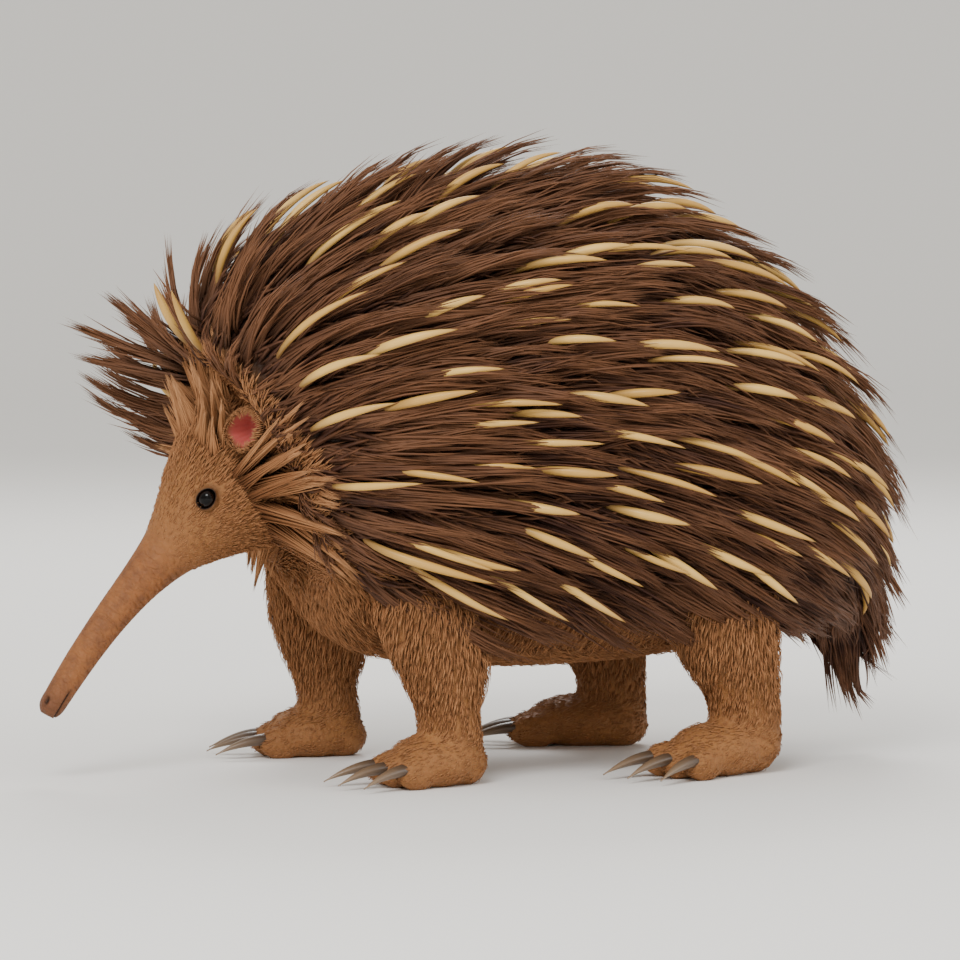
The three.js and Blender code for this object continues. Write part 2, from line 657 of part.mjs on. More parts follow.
const spines = spineSeats.map((seat) => spine(trunkCore, seat));
const besideTorso = [before(trunkRoom, moved(neckPlane, GAP)), behind(trunkRoom, moved(tailPlane, -GAP))];
const torsoCoat = cut(join([...locksOf(trunkCore, torsoSeats), ...spines]), besideTorso);
const neckRoom = locksOf(trunkCore, neckSeats, 2 * GAP);
addNode("torso", cut(join([torsoCore, torsoCoat]), [...limbRoom, ...neckRoom, ...fringeRoom]), looks.coat);

const rearSeats = torsoSeats.filter((seat) => seat.k > TAIL_START - 1.7);
const rearRoom = locksOf(trunkCore, rearSeats, 2 * GAP);
const tailCoat = cut(join(locksOf(trunkCore, tailSeats)), [before(trunkRoom, moved(tailPlane, GAP))]);
addNode("tail", cut(join([tailCore, tailCoat]), rearRoom), looks.coat);

export default animal;
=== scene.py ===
"""A still, life-size long-beaked echidna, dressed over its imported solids.

Lengths in the classes are millimetres of the design, as in the solids' source, unless a name says
otherwise. The animal faces -X and its left side is towards -Y. A surface's angle phi is counted
from the top and grows to the left, and its station k grows from front to back.
"""

import logging
import math
from collections.abc import Iterator
from dataclasses import dataclass, field, replace
from enum import Enum

import bmesh
import bpy
import numpy as np
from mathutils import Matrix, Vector

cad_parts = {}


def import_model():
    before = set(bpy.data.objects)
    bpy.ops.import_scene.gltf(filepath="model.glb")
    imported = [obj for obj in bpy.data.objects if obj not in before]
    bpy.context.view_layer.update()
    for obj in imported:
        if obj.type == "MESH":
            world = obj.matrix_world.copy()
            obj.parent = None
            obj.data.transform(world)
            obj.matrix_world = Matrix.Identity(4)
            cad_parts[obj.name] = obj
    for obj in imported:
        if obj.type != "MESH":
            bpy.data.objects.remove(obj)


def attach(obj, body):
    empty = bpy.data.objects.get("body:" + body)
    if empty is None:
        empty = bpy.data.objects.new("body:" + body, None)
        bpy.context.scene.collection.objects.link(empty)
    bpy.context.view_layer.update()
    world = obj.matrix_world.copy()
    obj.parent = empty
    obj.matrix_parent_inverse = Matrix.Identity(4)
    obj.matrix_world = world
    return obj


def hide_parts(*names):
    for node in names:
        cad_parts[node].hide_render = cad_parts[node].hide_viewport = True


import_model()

Array = np.ndarray
LOG = logging.getLogger("echidna")
SEED = 20260
RNG = np.random.default_rng(SEED)
MM = 0.001
CENTRE_SHIFT = np.array([13.7, 0.0, 0.0])
SIDES = {"left": -1, "right": 1}
TOES = (-1, 0, 1)


# Small mathematics


def lerp(a: Array | float, b: Array | float, t: Array | float) -> Array | float:
    """The value that lies the share t of the way from a to b."""
    return a + (b - a) * t


def smoothstep(x: Array | float, low: float, high: float) -> Array:
    """A smooth step from 0 below low to 1 above high: 3t^2 - 2t^3 of the clamped share t."""
    t = np.clip((np.asarray(x, float) - low) / (high - low), 0, 1)
    return t * t * (3 - 2 * t)


def bell(x: Array, width: float) -> Array:
    """A bell curve: e to the power of minus the square of x over the width."""
    return np.exp(-((x / width) ** 2))


def unit(v: Array) -> Array:
    """Vectors along the last axis scaled to length one."""
    return v / np.maximum(np.linalg.norm(v, axis=-1, keepdims=True), 1e-9)


def circle(count: int, start: float = 0.0) -> Array:
    """Evenly spaced angles that go once round."""
    return np.linspace(start, start + 2 * math.pi, count, endpoint=False)


def turned(points: Array, angle: float) -> Array:
    """Points turned about the upright axis.

    Args:
        points: The points.
        angle: How far, in radians.

    Returns:
        The turned points.
    """
    c, s = math.cos(angle), math.sin(angle)
    x, y = points[..., 0], points[..., 1]
    return np.stack([c * x - s * y, s * x + c * y, points[..., 2]], axis=-1)


def spline(points: Array, t: Array) -> Array:
    """Uniform Catmull-Rom curve.

    Between two neighbouring points it is the cubic that leaves the first with half the step
    from the point before it to the second, and arrives at the second likewise.

    Args:
        points: Control points, one row each.
        t: Places from 0 at the first point to 1 at the last, of any shape.

    Returns:
        The curve's points, with the shape of t and one more axis.
    """
    last = len(points) - 1
    place = np.clip(t, 0, 1) * last
    i = np.floor(place).astype(int)
    w = (place - i)[..., None]
    a, b, c, d = (points[np.clip(i + step, 0, last)] for step in (-1, 0, 1, 2))
    v0, v1 = (c - a) / 2, (d - b) / 2
    return (2 * b - 2 * c + v0 + v1) * w**3 + (3 * c - 3 * b - 2 * v0 - v1) * w**2 + v0 * w + b


def world(points: Array) -> Array:
    """Design points in millimetres as places of the frame in metres."""
    return (points + CENTRE_SHIFT) * MM


# Surfaces of the body


@dataclass
class Seats:
    """Places on a surface, one row each.

    Each has its station and angle, its point, the way back along the body, the way out, and how
    many millimetres a station and a radian are there.
    """

    k: Array
    phi: Array
    point: Array
    along: Array
    out: Array
    per_station: Array
    per_radian: Array

    def of(self, chosen: Array) -> "Seats":
        """The chosen seats only."""
        return Seats(**{name: value[chosen] for name, value in vars(self).items()})

    def plus(self, other: "Seats") -> "Seats":
        """These seats and then the other's."""
        pairs = {name: [value, getattr(other, name)] for name, value in vars(self).items()}
        return Seats(**{name: np.concatenate(pair) for name, pair in pairs.items()})


@dataclass
class Surface:
    """A skin of two parameters: the station k along it and the angle phi round it.

    The step is the small difference that directions are taken over. The margins keep it inside
    the first and the last station.
    """

    last: float = 1.0
    step: float = 0.02
    margins: tuple[float, float] = (0.03, 0.06)
    candidates: int = 6
    largest: float = 0.995

    def skin(self, k: Array, phi: Array, grow: Array | float) -> Array:
        """Points of the surface, grow outside its skin."""
        raise NotImplementedError

    def point(self, k: Array, phi: Array, grow: Array | float = 0.0) -> Array:
        """Points of the surface, carried on in a straight line past its last station.

        Args:
            k: Stations.
            phi: Angles.
            grow: Distance outside the skin.

        Returns:
            The skin at the nearest station inside the margins, plus its slope times the rest.
        """
        inside = np.clip(k, self.margins[0], self.last - self.margins[1])
        behind, ahead = (self.skin(inside + way, phi, grow) for way in (-self.step, self.step))
        slope = (ahead - behind) / (2 * self.step)
        return self.skin(inside, phi, grow) + slope * (k - inside)[..., None]

    def seats(self, k: Array, phi: Array, grow: Array | float = 0.0) -> Seats:
        """The surface's frames: differences over a small step give its two directions.

        Args:
            k: Stations.
            phi: Angles.
            grow: Distance outside the skin.

        Returns:
            The seats, whose way out is across both directions.
        """
        step = self.step
        along = (self.point(k + step, phi, grow) - self.point(k - step, phi, grow)) / (2 * step)
        round_ = (self.point(k, phi + step, grow) - self.point(k, phi - step, grow)) / (2 * step)
        return Seats(
            k=k,
            phi=phi,
            point=self.point(k, phi, grow),
            along=unit(along),
            out=unit(np.cross(round_, along)),
            per_station=np.maximum(np.linalg.norm(along, axis=-1), 1e-6),
            per_radian=np.maximum(np.linalg.norm(round_, axis=-1), 1e-6),
        )

    def seat(self, k: float, phi: float, grow: float = 0.0) -> tuple[Array, Array, Array]:
        """One seat's point, its way along and its way out."""
        one = self.seats(np.array([k]), np.array([phi]), grow)
        return one.point[0], one.along[0], one.out[0]

    def grid(self, k: Array, columns: int, grow: Array | float = 0.0) -> Array:
        """A grid of points.

        Args:
            k: The rows' stations.
            columns: Points in a row, evenly round the surface.
            grow: Distance outside the skin, for all rows or one value a row.

        Returns:
            The points by row and column.
        """
        rows, phi = k[:, None], circle(columns, -math.pi)[None, :]
        beyond = np.broadcast_to(grow, k.shape)[:, None]
        return self.skin(rows + 0 * phi, phi + 0 * rows, beyond + 0 * phi)

    def scatter(self, count: int, start: float, stop: float, reach: float, grow: float = 0.0) -> Seats:
        """Random seats, evenly dense over the surface.

        Args:
            count: How many seats.
            start: First station.
            stop: Last station.
            reach: Largest angle from the top on both sides.
            grow: Distance outside the skin.

        Returns:
            The seats. Each candidate is kept with a chance in proportion to the area that it stands for.
        """
        k = RNG.uniform(start, stop, count * self.candidates)
        phi = RNG.uniform(-reach, reach, count * self.candidates)
        seats = self.seats(k, phi, grow)
        area = seats.per_station * seats.per_radian
        kept = RNG.uniform(0, np.quantile(area, self.largest), len(k)) < area
        return seats.of(np.flatnonzero(kept)[:count])


def trunk_ribs() -> Array:
    """The trunk's twelve ribs from nape to tail tip: back (x, z), belly (x, z) and half width."""
    return np.array(
        [
            [-154, 202, -103, 124, 46],
            [-168, 231, -104, 90, 74],
            [-131, 268, -86, 68, 94],
            [-66, 291, -48, 58, 104],
            [0, 300, 0, 55, 108],
            [60, 294, 48, 56, 108],
            [112, 264, 90, 60, 103],
            [155, 222, 124, 68, 93],
            [184, 166, 150, 78, 72],
            [195, 116, 170, 86, 40],
            [204, 88, 185, 70, 24],
            [204, 68, 196, 58, 12],
        ],
        float,
    )


def head_rings() -> Array:
    """The head's rings: distance from the beak's tip, then the skin above, below and beside the arc."""
    return np.array(
        [
            [0.0, 2.6, 2.4, 2.8],
            [1.4, 4.6, 4.2, 4.8],
            [4.5, 6.3, 5.8, 6.5],
            [10, 6.9, 6.6, 7.1],
            [30, 7.6, 7.6, 7.8],
            [60, 8.9, 9.0, 9.0],
            [85, 11.0, 11.2, 11.0],
            [105, 15.0, 15.0, 14.6],
            [120, 22.0, 20.0, 20.5],
            [135, 31.0, 26.0, 27.5],
            [150, 39.0, 33.0, 34.5],
            [165, 45.0, 40.0, 41.0],
            [177, 48.0, 45.0, 46.0],
            [190, 52.0, 49.0, 51.0],
        ],
        float,
    )


@dataclass
class Trunk(Surface):
    """The trunk from nape to tail tip, pear-shaped by a small share."""

    last: float = 11.0
    ribs: Array = field(default_factory=trunk_ribs)
    pear: float = 0.08

    def skin(self, k: Array, phi: Array, grow: Array | float) -> Array:
        """An ellipse in each rib's plane, a little wider low down than high up.

        Args:
            k: Stations.
            phi: Angles.
            grow: Distance outside the skin.

        Returns:
            The points.
        """
        rib = spline(self.ribs, k / self.last)
        back, belly, half = rib[..., 0:2], rib[..., 2:4], rib[..., 4]
        middle, rise = (back + belly) / 2, (back - belly) / 2
        radius = np.linalg.norm(rise, axis=-1)
        share = (radius + grow) / radius * np.cos(phi)
        pear = self.pear * smoothstep(k, 0, 2) * np.cos(phi)
        y = -(half + grow) * np.sin(phi) * (1 - pear)
        flat = middle + rise * share[..., None]
        return np.stack([flat[..., 0], y, flat[..., 1]], axis=-1)


@dataclass
class Head(Surface):
    """Beak and head along a circular arc that starts at the beak's tip (x, z) and falls by the pitch."""

    last: float = 13.0
    rings: Array = field(default_factory=head_rings)
    tip: tuple[float, float] = (-248.0, 34.0)
    pitch: float = math.radians(60)
    radius: float = 382.0
    fur: float = 2.0

    def skin(self, k: Array, phi: Array, grow: Array | float) -> Array:
        """An egg-shaped section across the arc at each station.

        Args:
            k: Stations.
            phi: Angles.
            grow: Distance outside the skin.

        Returns:
            The points.
        """
        ring = spline(self.rings, k / self.last)
        s, up, down, half = (ring[..., i] for i in range(4))
        pitch = self.pitch - s / self.radius
        x = self.tip[0] + self.radius * (math.sin(self.pitch) - np.sin(pitch))
        z = self.tip[1] + self.radius * (np.cos(pitch) - math.cos(self.pitch))
        lift = (up - down) / 2 + ((up + down) / 2 + grow) * np.cos(phi)
        y = -(half + grow) * np.sin(phi)
        return np.stack([x - np.sin(pitch) * lift, y, z + np.cos(pitch) * lift], axis=-1)

    def arc_places(self, points: Array) -> tuple[Array, Array, Array]:
        """Where points lie against the arc.

        Args:
            points: Design points.

        Returns:
            The distance from the tip along the arc, the height above it and the place across it.
            The arc's centre follows from its tip, pitch and radius.
        """
        cx = self.tip[0] + self.radius * math.sin(self.pitch)
        cz = self.tip[1] - self.radius * math.cos(self.pitch)
        dx, dz = points[..., 0] - cx, points[..., 2] - cz
        pitch = np.arctan2(-dx, dz)
        return (self.pitch - pitch) * self.radius, np.hypot(dx, dz) - self.radius, points[..., 1]

    def stations(self, s: Array) -> Array:
        """The station at a distance along the arc, from a fine table of the curve."""
        k = np.linspace(0, self.last, 1200)
        return np.interp(s, spline(self.rings, k / self.last)[:, 0], k)


@dataclass
class Limb:
    """One pair of legs.

    The rings are height, x, distance from the middle plane and the two half widths. Sole and heel
    are ellipsoids: place along the foot and half length, width and height. A toe is its three half
    sizes, and a claw its length, half width, half height and fall. The angles turn the foot out
    and fan its toes.
    """

    x: float
    rings: Array
    turn: float
    sole: tuple[float, float, float, float]
    heel: tuple[float, float, float, float]
    reach: float
    spread: float
    toe: tuple[float, float, float]
    fan: float
    claw: tuple[float, float, float, float]
    out: float = 77.0
    stride: float = 7.0
    set_back: float = 2.5

    def place(self, points: Array, side: int) -> Array:
        """Foot points turned out and set under the leg."""
        return turned(points, -side * self.turn) + np.array([self.x - side * self.stride, side * self.out, 0])

    def on_toe(self, points: Array, toe: int, side: int) -> Array:
        """Points about a toe's own middle as that toe of the foot, the outer ones set back."""
        middle = np.array([self.reach + self.set_back * abs(toe), toe * self.spread, 0])
        return self.place(turned(points, -toe * self.fan) + middle, side)


FRONT = Limb(
    x=-66,
    rings=np.array(
        [
            [116, -8, 56, 31, 23],
            [94, -6, 65, 29, 23],
            [72, -3, 72, 26, 20.5],
            [54, 0, 76, 21.5, 18],
            [38, 1, 77, 16.5, 17],
            [20, 3, 77, 17, 17.5],
            [10, 3, 77, 17, 17.5],
        ]
    ),
    turn=math.radians(12),
    sole=(-8, 27, 21.5, 14.5),
    heel=(8, 15, 15, 13),
    reach=-27,
    spread=13,
    toe=(13.5, 8.2, 9.6),
    fan=math.radians(11),
    claw=(29, 4.0, 3.3, 7.2),
)
HIND = Limb(
    x=92,
    rings=np.array(
        [
            [132, 2, 50, 40, 26],
            [104, -2, 62, 36, 25],
            [80, -4, 71, 31, 23],
            [58, 0, 76, 25, 20],
            [40, 6, 77, 19.5, 18],
            [20, 8, 77, 19, 18],
            [10, 8, 77, 19, 18],
        ]
    ),
    turn=math.radians(24),
    sole=(-10, 34, 21.5, 15),
    heel=(10, 17, 17, 14),
    reach=-37,
    spread=13.5,
    toe=(15, 8.6, 9.8),
    fan=math.radians(10),
    claw=(32, 4.2, 3.4, 7.4),
)
LIMBS = {"front": FRONT, "hind": HIND}
TRUNK = Trunk()
HEAD = Head()
HEM = math.radians(133)


# Meshes


def make_object(
    name: str,
    mesh: bpy.types.Mesh,
    material: bpy.types.Material,
    replaces: tuple[str, ...] = (),
) -> bpy.types.Object:
    """A mesh as a dressed piece of the model.

    Args:
        name: The piece's name.
        mesh: Its mesh, in metres.
        material: Its finish.
        replaces: The solids that the piece stands for.

    Returns:
        The object, riding on the one body.
    """
    obj = bpy.data.objects.new(name, mesh)
    bpy.context.scene.collection.objects.link(obj)
    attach(obj, "root")
    if replaces:
        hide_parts(*replaces)
    obj.data.materials.append(material)
    LOG.info("%s: %d vertices, %d faces", name, len(mesh.vertices), len(mesh.polygons))
    return obj


def read(items: bpy.types.bpy_prop_collection, name: str, width: int, kind: type) -> Array:
    """One property of all of a mesh's vertices, edges or triangles.

    Args:
        items: The mesh's items.
        name: The property.
        width: Numbers in one item's property.
        kind: The numbers' type.

    Returns:
        One row an item.
    """
    raw = np.empty(len(items) * width, kind)
    items.foreach_get(name, raw)
    return raw.reshape(-1, width)


def design_points(mesh: bpy.types.Mesh) -> Array:
    """A mesh's vertices as design points in millimetres."""
    return read(mesh.vertices, "co", 3, np.float32).astype(float) / MM - CENTRE_SHIFT


def set_values(mesh: bpy.types.Mesh, values: dict[str, Array]) -> None:
    """Writes float attributes.

    Args:
        mesh: The mesh that gets them.
        values: Their names, each with one value a vertex.
    """
    for key, value in values.items():
        data = mesh.attributes.new(key, "FLOAT", "POINT").data
        data.foreach_set("value", np.asarray(value, np.float32).ravel())


def tri_mesh(
    name: str, points: Array, faces: Array, values: dict[str, Array], uv: Array | None = None
) -> bpy.types.Mesh:
    """A mesh from arrays.

    Args:
        name: Its name.
        points: Vertices in metres, one row each.
        faces: Vertex numbers, three a row.
        values: Float attributes, one value a vertex.
        uv: A place on the OFBake map for each vertex, if any.

    Returns:
        The mesh, smooth shaded.
    """
    mesh = bpy.data.meshes.new(name)
    mesh.vertices.add(len(points))
    mesh.vertices.foreach_set("co", np.ascontiguousarray(points, np.float32).ravel())
    mesh.loops.add(faces.size)
    mesh.loops.foreach_set("vertex_index", np.ascontiguousarray(faces, np.int32).ravel())
    mesh.polygons.add(len(faces))
    mesh.polygons.foreach_set("loop_start", np.arange(0, faces.size, 3, dtype=np.int32))
    mesh.polygons.foreach_set("use_smooth", np.ones(len(faces), bool))
    mesh.update(calc_edges=True)
    set_values(mesh, values)
    if uv is not None:
        layer = mesh.uv_layers.new(name="OFBake")
        layer.data.foreach_set("uv", np.ascontiguousarray(uv[faces.ravel()], np.float32).ravel())
    return mesh


def grid_faces(rows: int, columns: int, caps: bool = True) -> Array:
    """Triangles of a grid that closes round its columns, with a fan from one more vertex at each end.

    Args:
        rows: Rows of the grid.
        columns: Vertices in a row.
        caps: Whether the ends are closed. The two end vertices follow the grid.

    Returns:
        Vertex numbers, three a row.
    """
    i = np.arange(rows - 1)[:, None] * columns
    j = np.arange(columns)[None, :]
    k = (j + 1) % columns
    a, b, c, d = i + j, i + k, i + columns + k, i + columns + j
    faces = [np.stack([a, b, c], -1).reshape(-1, 3), np.stack([a, c, d], -1).reshape(-1, 3)]
    if caps:
        start, end = rows * columns, rows * columns + 1
        rim = (rows - 1) * columns
        around = np.arange(columns)
        after = (around + 1) % columns
        faces.append(np.stack([after, around, np.full(columns, start)], -1))
        faces.append(np.stack([rim + around, rim + after, np.full(columns, end)], -1))
    return np.concatenate(faces)


def closed_grid(points: Array) -> tuple[Array, Array]:
    """A grid of points as a closed tube.

    Args:
        points: Points by row and column.

    Returns:
        Its vertices with the two ends' middles, and its triangles. They are turned over where the
        volume, which is the sum of a . (b x c) over the triangles, comes out negative.
    """
    ends = np.stack([points[0].mean(axis=0), points[-1].mean(axis=0)])
    vertices = np.concatenate([points.reshape(-1, 3), ends])
    faces = grid_faces(*points.shape[:2])
    a, b, c = (vertices[faces[:, i]] for i in range(3))
    if np.einsum("ij,ij->", a, np.cross(b, c)) < 0:
        faces = faces[:, ::-1]
    return vertices, faces


def ellipsoid(
    middle: tuple[float, float, float], radii: tuple[float, float, float], rows: int = 25
) -> Array:
    """A grid over an ellipsoid: circles of latitude from one pole to the other, along x.

    Args:
        middle: Its middle.
        radii: Its half sizes.
        rows: Circles of latitude. The first and the last are tiny ones beside the poles.

    Returns:
        The points by row and column.
    """
    pole = 0.02
    polar = np.linspace(pole, math.pi - pole, rows)[:, None]
    turn = circle(2 * rows)[None, :]
    across = np.sin(polar)
    shape = np.stack([np.cos(polar) + 0 * turn, across * np.cos(turn), across * np.sin(turn)], -1)
    return np.array(middle) + shape * np.array(radii)


def joined(parts: list[tuple[Array, Array]]) -> tuple[Array, Array]:
    """Several meshes as one.

    Args:
        parts: Pairs of vertices and faces.

    Returns:
        One pair, with the faces renumbered.
    """
    starts = np.cumsum([0] + [len(points) for points, _ in parts[:-1]])
    faces = [faces + start for (_, faces), start in zip(parts, starts)]
    return np.concatenate([points for points, _ in parts]), np.concatenate(faces)


# Finishes

Colour = str | bpy.types.NodeSocket
# The Mix node's inputs by number, because their names repeat: its share, then numbers, then colours
SHARE, NUMBER_A, NUMBER_B, COLOUR_A, COLOUR_B = 0, 2, 3, 6, 7
COLOUR_OUT = 2
# Patterns in cells a metre: patches of fur 18 mm across and blotches on the beak 5.6 mm across,
# the hide's creases 2.3 mm apart, which is coarser than life so that they show, and bands whose
# period is 0.314 over their scale, for rings round the beak 3.7 mm apart
PATCHES, BLOTCHES, CREASES, RINGS = 55.0, 180.0, 430.0, 85.0
RING_TURN = math.radians(50)


def linear(colour: str) -> tuple[float, float, float, float]:
    """A colour as linear values: a straight piece near black, then a power of 2.4.

    Args:
        colour: The colour in sRGB hex.

    Returns:
        Red, green, blue and full opacity.
    """
    parts = np.array([int(colour[i : i + 2], 16) for i in (1, 3, 5)]) / 255
    made = np.where(parts <= 0.04045, parts / 12.92, ((parts + 0.055) / 1.055) ** 2.4)
    return (*made.tolist(), 1.0)


def add_node(
    tree: bpy.types.NodeTree, kind: str, settings: dict | None = None, inputs: dict | None = None
) -> bpy.types.Node:
    """Adds one node to a tree.

    Args:
        tree: The material's tree.
        kind: The node's type name, without ShaderNode.
        settings: Its own properties.
        inputs: Values, hex colours or output sockets for its inputs, by name or number.

    Returns:
        The node.
    """
    node = tree.nodes.new("ShaderNode" + kind)
    for name, value in (settings or {}).items():
        setattr(node, name, value)
    for name, value in (inputs or {}).items():
        if isinstance(value, bpy.types.NodeSocket):
            tree.links.new(value, node.inputs[name])
        else:
            node.inputs[name].default_value = linear(value) if isinstance(value, str) else value
    return node


def layered(
    tree: bpy.types.NodeTree, base: Colour, layers: list[tuple[bpy.types.NodeSocket, Colour]]
) -> bpy.types.NodeSocket:
    """Colours laid over each other.

    Args:
        tree: The material's tree.
        base: The lowest colour.
        layers: The share by which each layer covers what is below it, and its colour.

    Returns:
        The colour on top.
    """
    for share, colour in layers:
        mixed = {SHARE: share, COLOUR_A: base, COLOUR_B: colour}
        base = add_node(tree, "Mix", {"data_type": "RGBA", "clamp_factor": True}, mixed).outputs[COLOUR_OUT]
    return base


class Recipe(Enum):
    """How a finish works out its colour, with the mesh's attributes that it reads."""

    HAIR = ("along", "tone")
    SKIN = ("beak", "tip", "dark", "line")
    TWO_TONE = ("tone",)


@dataclass(frozen=True)
class Finish:
    """A material: its colours in sRGB hex and the numbers set on the shader's own sockets.

    The grain is in cells a metre, 1.1 mm each if nothing else is said, and the relief in metres.
    """

    name: str
    recipe: Recipe
    colours: tuple[str, ...]
    roughness: float
    specular: float
    sheen: float = 0.0
    coat: float = 0.0
    subsurface: float = 0.0
    bump: float = 0.0
    grain: float = 900.0
    relief: float = 0.0007

    def shader(self) -> tuple[bpy.types.Material, bpy.types.Node]:
        """A new material with its shader's plain numbers set.

        Returns:
            The material and its shader.
        """
        material = bpy.data.materials.new(self.name)
        material.use_nodes = True
        shader = material.node_tree.nodes["Principled BSDF"]
        numbers = {
            "Roughness": self.roughness,
            "Specular IOR Level": self.specular,
            "Sheen Weight": self.sheen,
            "Sheen Roughness": 0.5,
            "Coat Weight": self.coat,
            "Coat Roughness": 0.03,
            "Subsurface Weight": self.subsurface,
            "Subsurface Scale": 0.004,
        }
        for name, value in numbers.items():
            shader.inputs[name].default_value = value
        return material, shader

    def colour(
        self, tree: bpy.types.NodeTree, place: bpy.types.NodeSocket, shares: dict[str, bpy.types.NodeSocket]
    ) -> bpy.types.NodeSocket:
        """The colour, by the recipe.

        Hair goes from its root's colour to a mix of dark and light, and on to its tip's. Skin is
        patchy fur colour with the blotchy beak, painted shade under the coat, and painted shade in
        the mouth's groove, the nostrils and round the eyes over it. Two tones are mixed plainly.

        Args:
            tree: The material's tree.
            place: Object coordinates.
            shares: The mesh's attributes.

        Returns:
            The colour's socket.
        """
        if self.recipe is Recipe.HAIR:
            root, dark, light, tip = self.colours
            body = layered(tree, dark, [(shares["tone"], light)])
            early = {"Value": shares["along"], "From Max": 0.4}
            late = {"Value": shares["along"], "From Min": 0.6, "To Max": 0.7}
            covers = [add_node(tree, "MapRange", None, part).outputs[0] for part in (early, late)]
            return layered(tree, root, [(covers[0], body), (covers[1], tip)])
        if self.recipe is Recipe.SKIN:
            fur, under, beak, tip, line, shade = self.colours
            patches = add_node(tree, "TexNoise", None, {"Vector": place, "Scale": PATCHES, "Detail": 4.0})
            spots = add_node(tree, "TexNoise", None, {"Vector": place, "Scale": BLOTCHES, "Detail": 5.0})
            range_ = {"Value": spots.outputs["Fac"], "From Min": 0.4, "From Max": 0.7, "To Max": 0.7}
            blotches = add_node(tree, "MapRange", None, range_).outputs[0]
            fur_colour = layered(tree, fur, [(patches.outputs["Fac"], under)])
            beak_colour = layered(tree, beak, [(shares["tip"], tip), (blotches, tip)])
            # Over the fur: the beak, painted shade under the coat, painted shade in grooves, pits and round
            # the eyes
            over = [(shares["beak"], beak_colour), (shares["dark"], shade), (shares["line"], line)]
            return layered(tree, fur_colour, over)
        return layered(tree, self.colours[0], [(shares["tone"], self.colours[1])])

    def height(
        self, tree: bpy.types.NodeTree, place: bpy.types.NodeSocket, shares: dict[str, bpy.types.NodeSocket]
    ) -> bpy.types.NodeSocket:
        """The relief: fine grain, and on skin its creases too, with rings round the beak.

        Args:
            tree: The material's tree.
            place: Object coordinates.
            shares: The mesh's attributes.

        Returns:
            The height's socket.
        """
        noise = add_node(tree, "TexNoise", None, {"Vector": place, "Scale": self.grain, "Detail": 3.0})
        grain = noise.outputs["Fac"]
        if self.recipe is not Recipe.SKIN:
            return grain
        cells = add_node(tree, "TexVoronoi", None, {"Vector": place, "Scale": CREASES}).outputs["Distance"]
        hide = add_node(tree, "Mix", None, {SHARE: 0.6, NUMBER_A: grain, NUMBER_B: cells}).outputs[0]
        along = add_node(tree, "Mapping", None, {"Vector": place, "Rotation": (0.0, RING_TURN, 0.0)})
        bands = {"Vector": along.outputs[0], "Scale": RINGS, "Distortion": 5.0, "Detail Scale": 3.0}
        rings = add_node(tree, "TexWave", None, bands).outputs["Fac"]
        share = add_node(tree, "MapRange", None, {"Value": shares["beak"], "To Max": 0.5}).outputs[0]
        return add_node(tree, "Mix", None, {SHARE: share, NUMBER_A: hide, NUMBER_B: rings}).outputs[0]

    def build(self) -> bpy.types.Material:
        """Makes the material.

        Returns:
            The finished material.
        """
        material, shader = self.shader()
        tree = material.node_tree
        place = add_node(tree, "TexCoord").outputs["Object"]
        shares = {
            name: add_node(tree, "Attribute", {"attribute_name": name}).outputs["Fac"]
            for name in self.recipe.value
        }
        tree.links.new(self.colour(tree, place, shares), shader.inputs["Base Color"])
        if self.bump > 0:
            height = self.height(tree, place, shares)
            relief = {"Height": height, "Strength": self.bump, "Distance": self.relief}
            tree.links.new(add_node(tree, "Bump", None, relief).outputs[0], shader.inputs["Normal"])
        return material


# Long, coarse guard hair: nearly black at the root, chocolate to chestnut above it
GUARD_HAIR = Finish(
    name="guard_hair",
    recipe=Recipe.HAIR,
    colours=("#1C100A", "#3B2218", "#6F4A32", "#84583B"),
    roughness=0.55,
    specular=0.18,
)
# Short warm fur of face, legs and belly: dull, so that it doesn't glitter
SHORT_FUR = Finish(
    name="short_fur",
    recipe=Recipe.HAIR,
    colours=("#72492F", "#8C5E3D", "#B38158", "#C08F66"),
    roughness=0.7,
    specular=0.05,
)
# Keratin spine: polished cream horn that comes out of a brown root and ends in amber
SPINE_HORN = Finish(
    name="spine_keratin",
    recipe=Recipe.HAIR,
    colours=("#5E4028", "#BF934B", "#DFB566", "#A87B3C"),
    roughness=0.4,
    specular=0.25,
    coat=0.05,
)
# Skin with velvety hair too short to see one by one, and the bare, creased, leathery beak;
# its last two colours are painted shade in grooves, pits and round the eyes, and painted
# shade under the coat
BODY_SKIN = Finish(
    name="leathery_skin",
    recipe=Recipe.SKIN,
    colours=("#9B6A3C", "#805535", "#8E5B36", "#69432D", "#1C100B", "#24160F"),
    roughness=0.6,
    specular=0.2,
    subsurface=0.06,
    bump=0.8,
    relief=0.0013,
)
# Thin pink skin inside the ear, brown and downy outside
EAR_SKIN = Finish(
    name="ear_skin",
    recipe=Recipe.TWO_TONE,
    colours=("#7E4F2E", "#AE5049"),
    roughness=0.6,
    specular=0.3,
    sheen=0.1,
    subsurface=0.2,
    bump=0.3,
)
# Wet eye: a near-black brown ball under a clear, glossy cornea
EYE_WET = Finish(
    name="wet_eye",
    recipe=Recipe.TWO_TONE,
    colours=("#030202", "#140A06"),
    roughness=0.05,
    specular=0.12,
    coat=0.12,
)
# Claw horn: dark at the root and worn paler to the point, with a faint 2.5 mm grain
CLAW_HORN = Finish(
    name="claw_keratin",
    recipe=Recipe.TWO_TONE,
    colours=("#3A2B22", "#8A7157"),
    roughness=0.38,
    specular=0.5,
    coat=0.2,
    bump=0.15,
    grain=400.0,
)
# Matt pale paint of the studio's floor
FLOOR = Finish("studio_floor", Recipe.TWO_TONE, ("#F3F1ED", "#F3F1ED"), roughness=0.9, specular=0.1)


# Hair


@dataclass
class Lie:
    """How seated hairs stand: each array has one value a hair.

    Length, angle of lift, share of the straight line, droop, and the tip's height over the skin.
    The root sinks in, and a small swell lifts a hair early.
    """

    length: Array
    lift: Array
    freedom: Array
    droop: Array
    tip: Array
    sink: float = 2.0
    swell: float = 0.9


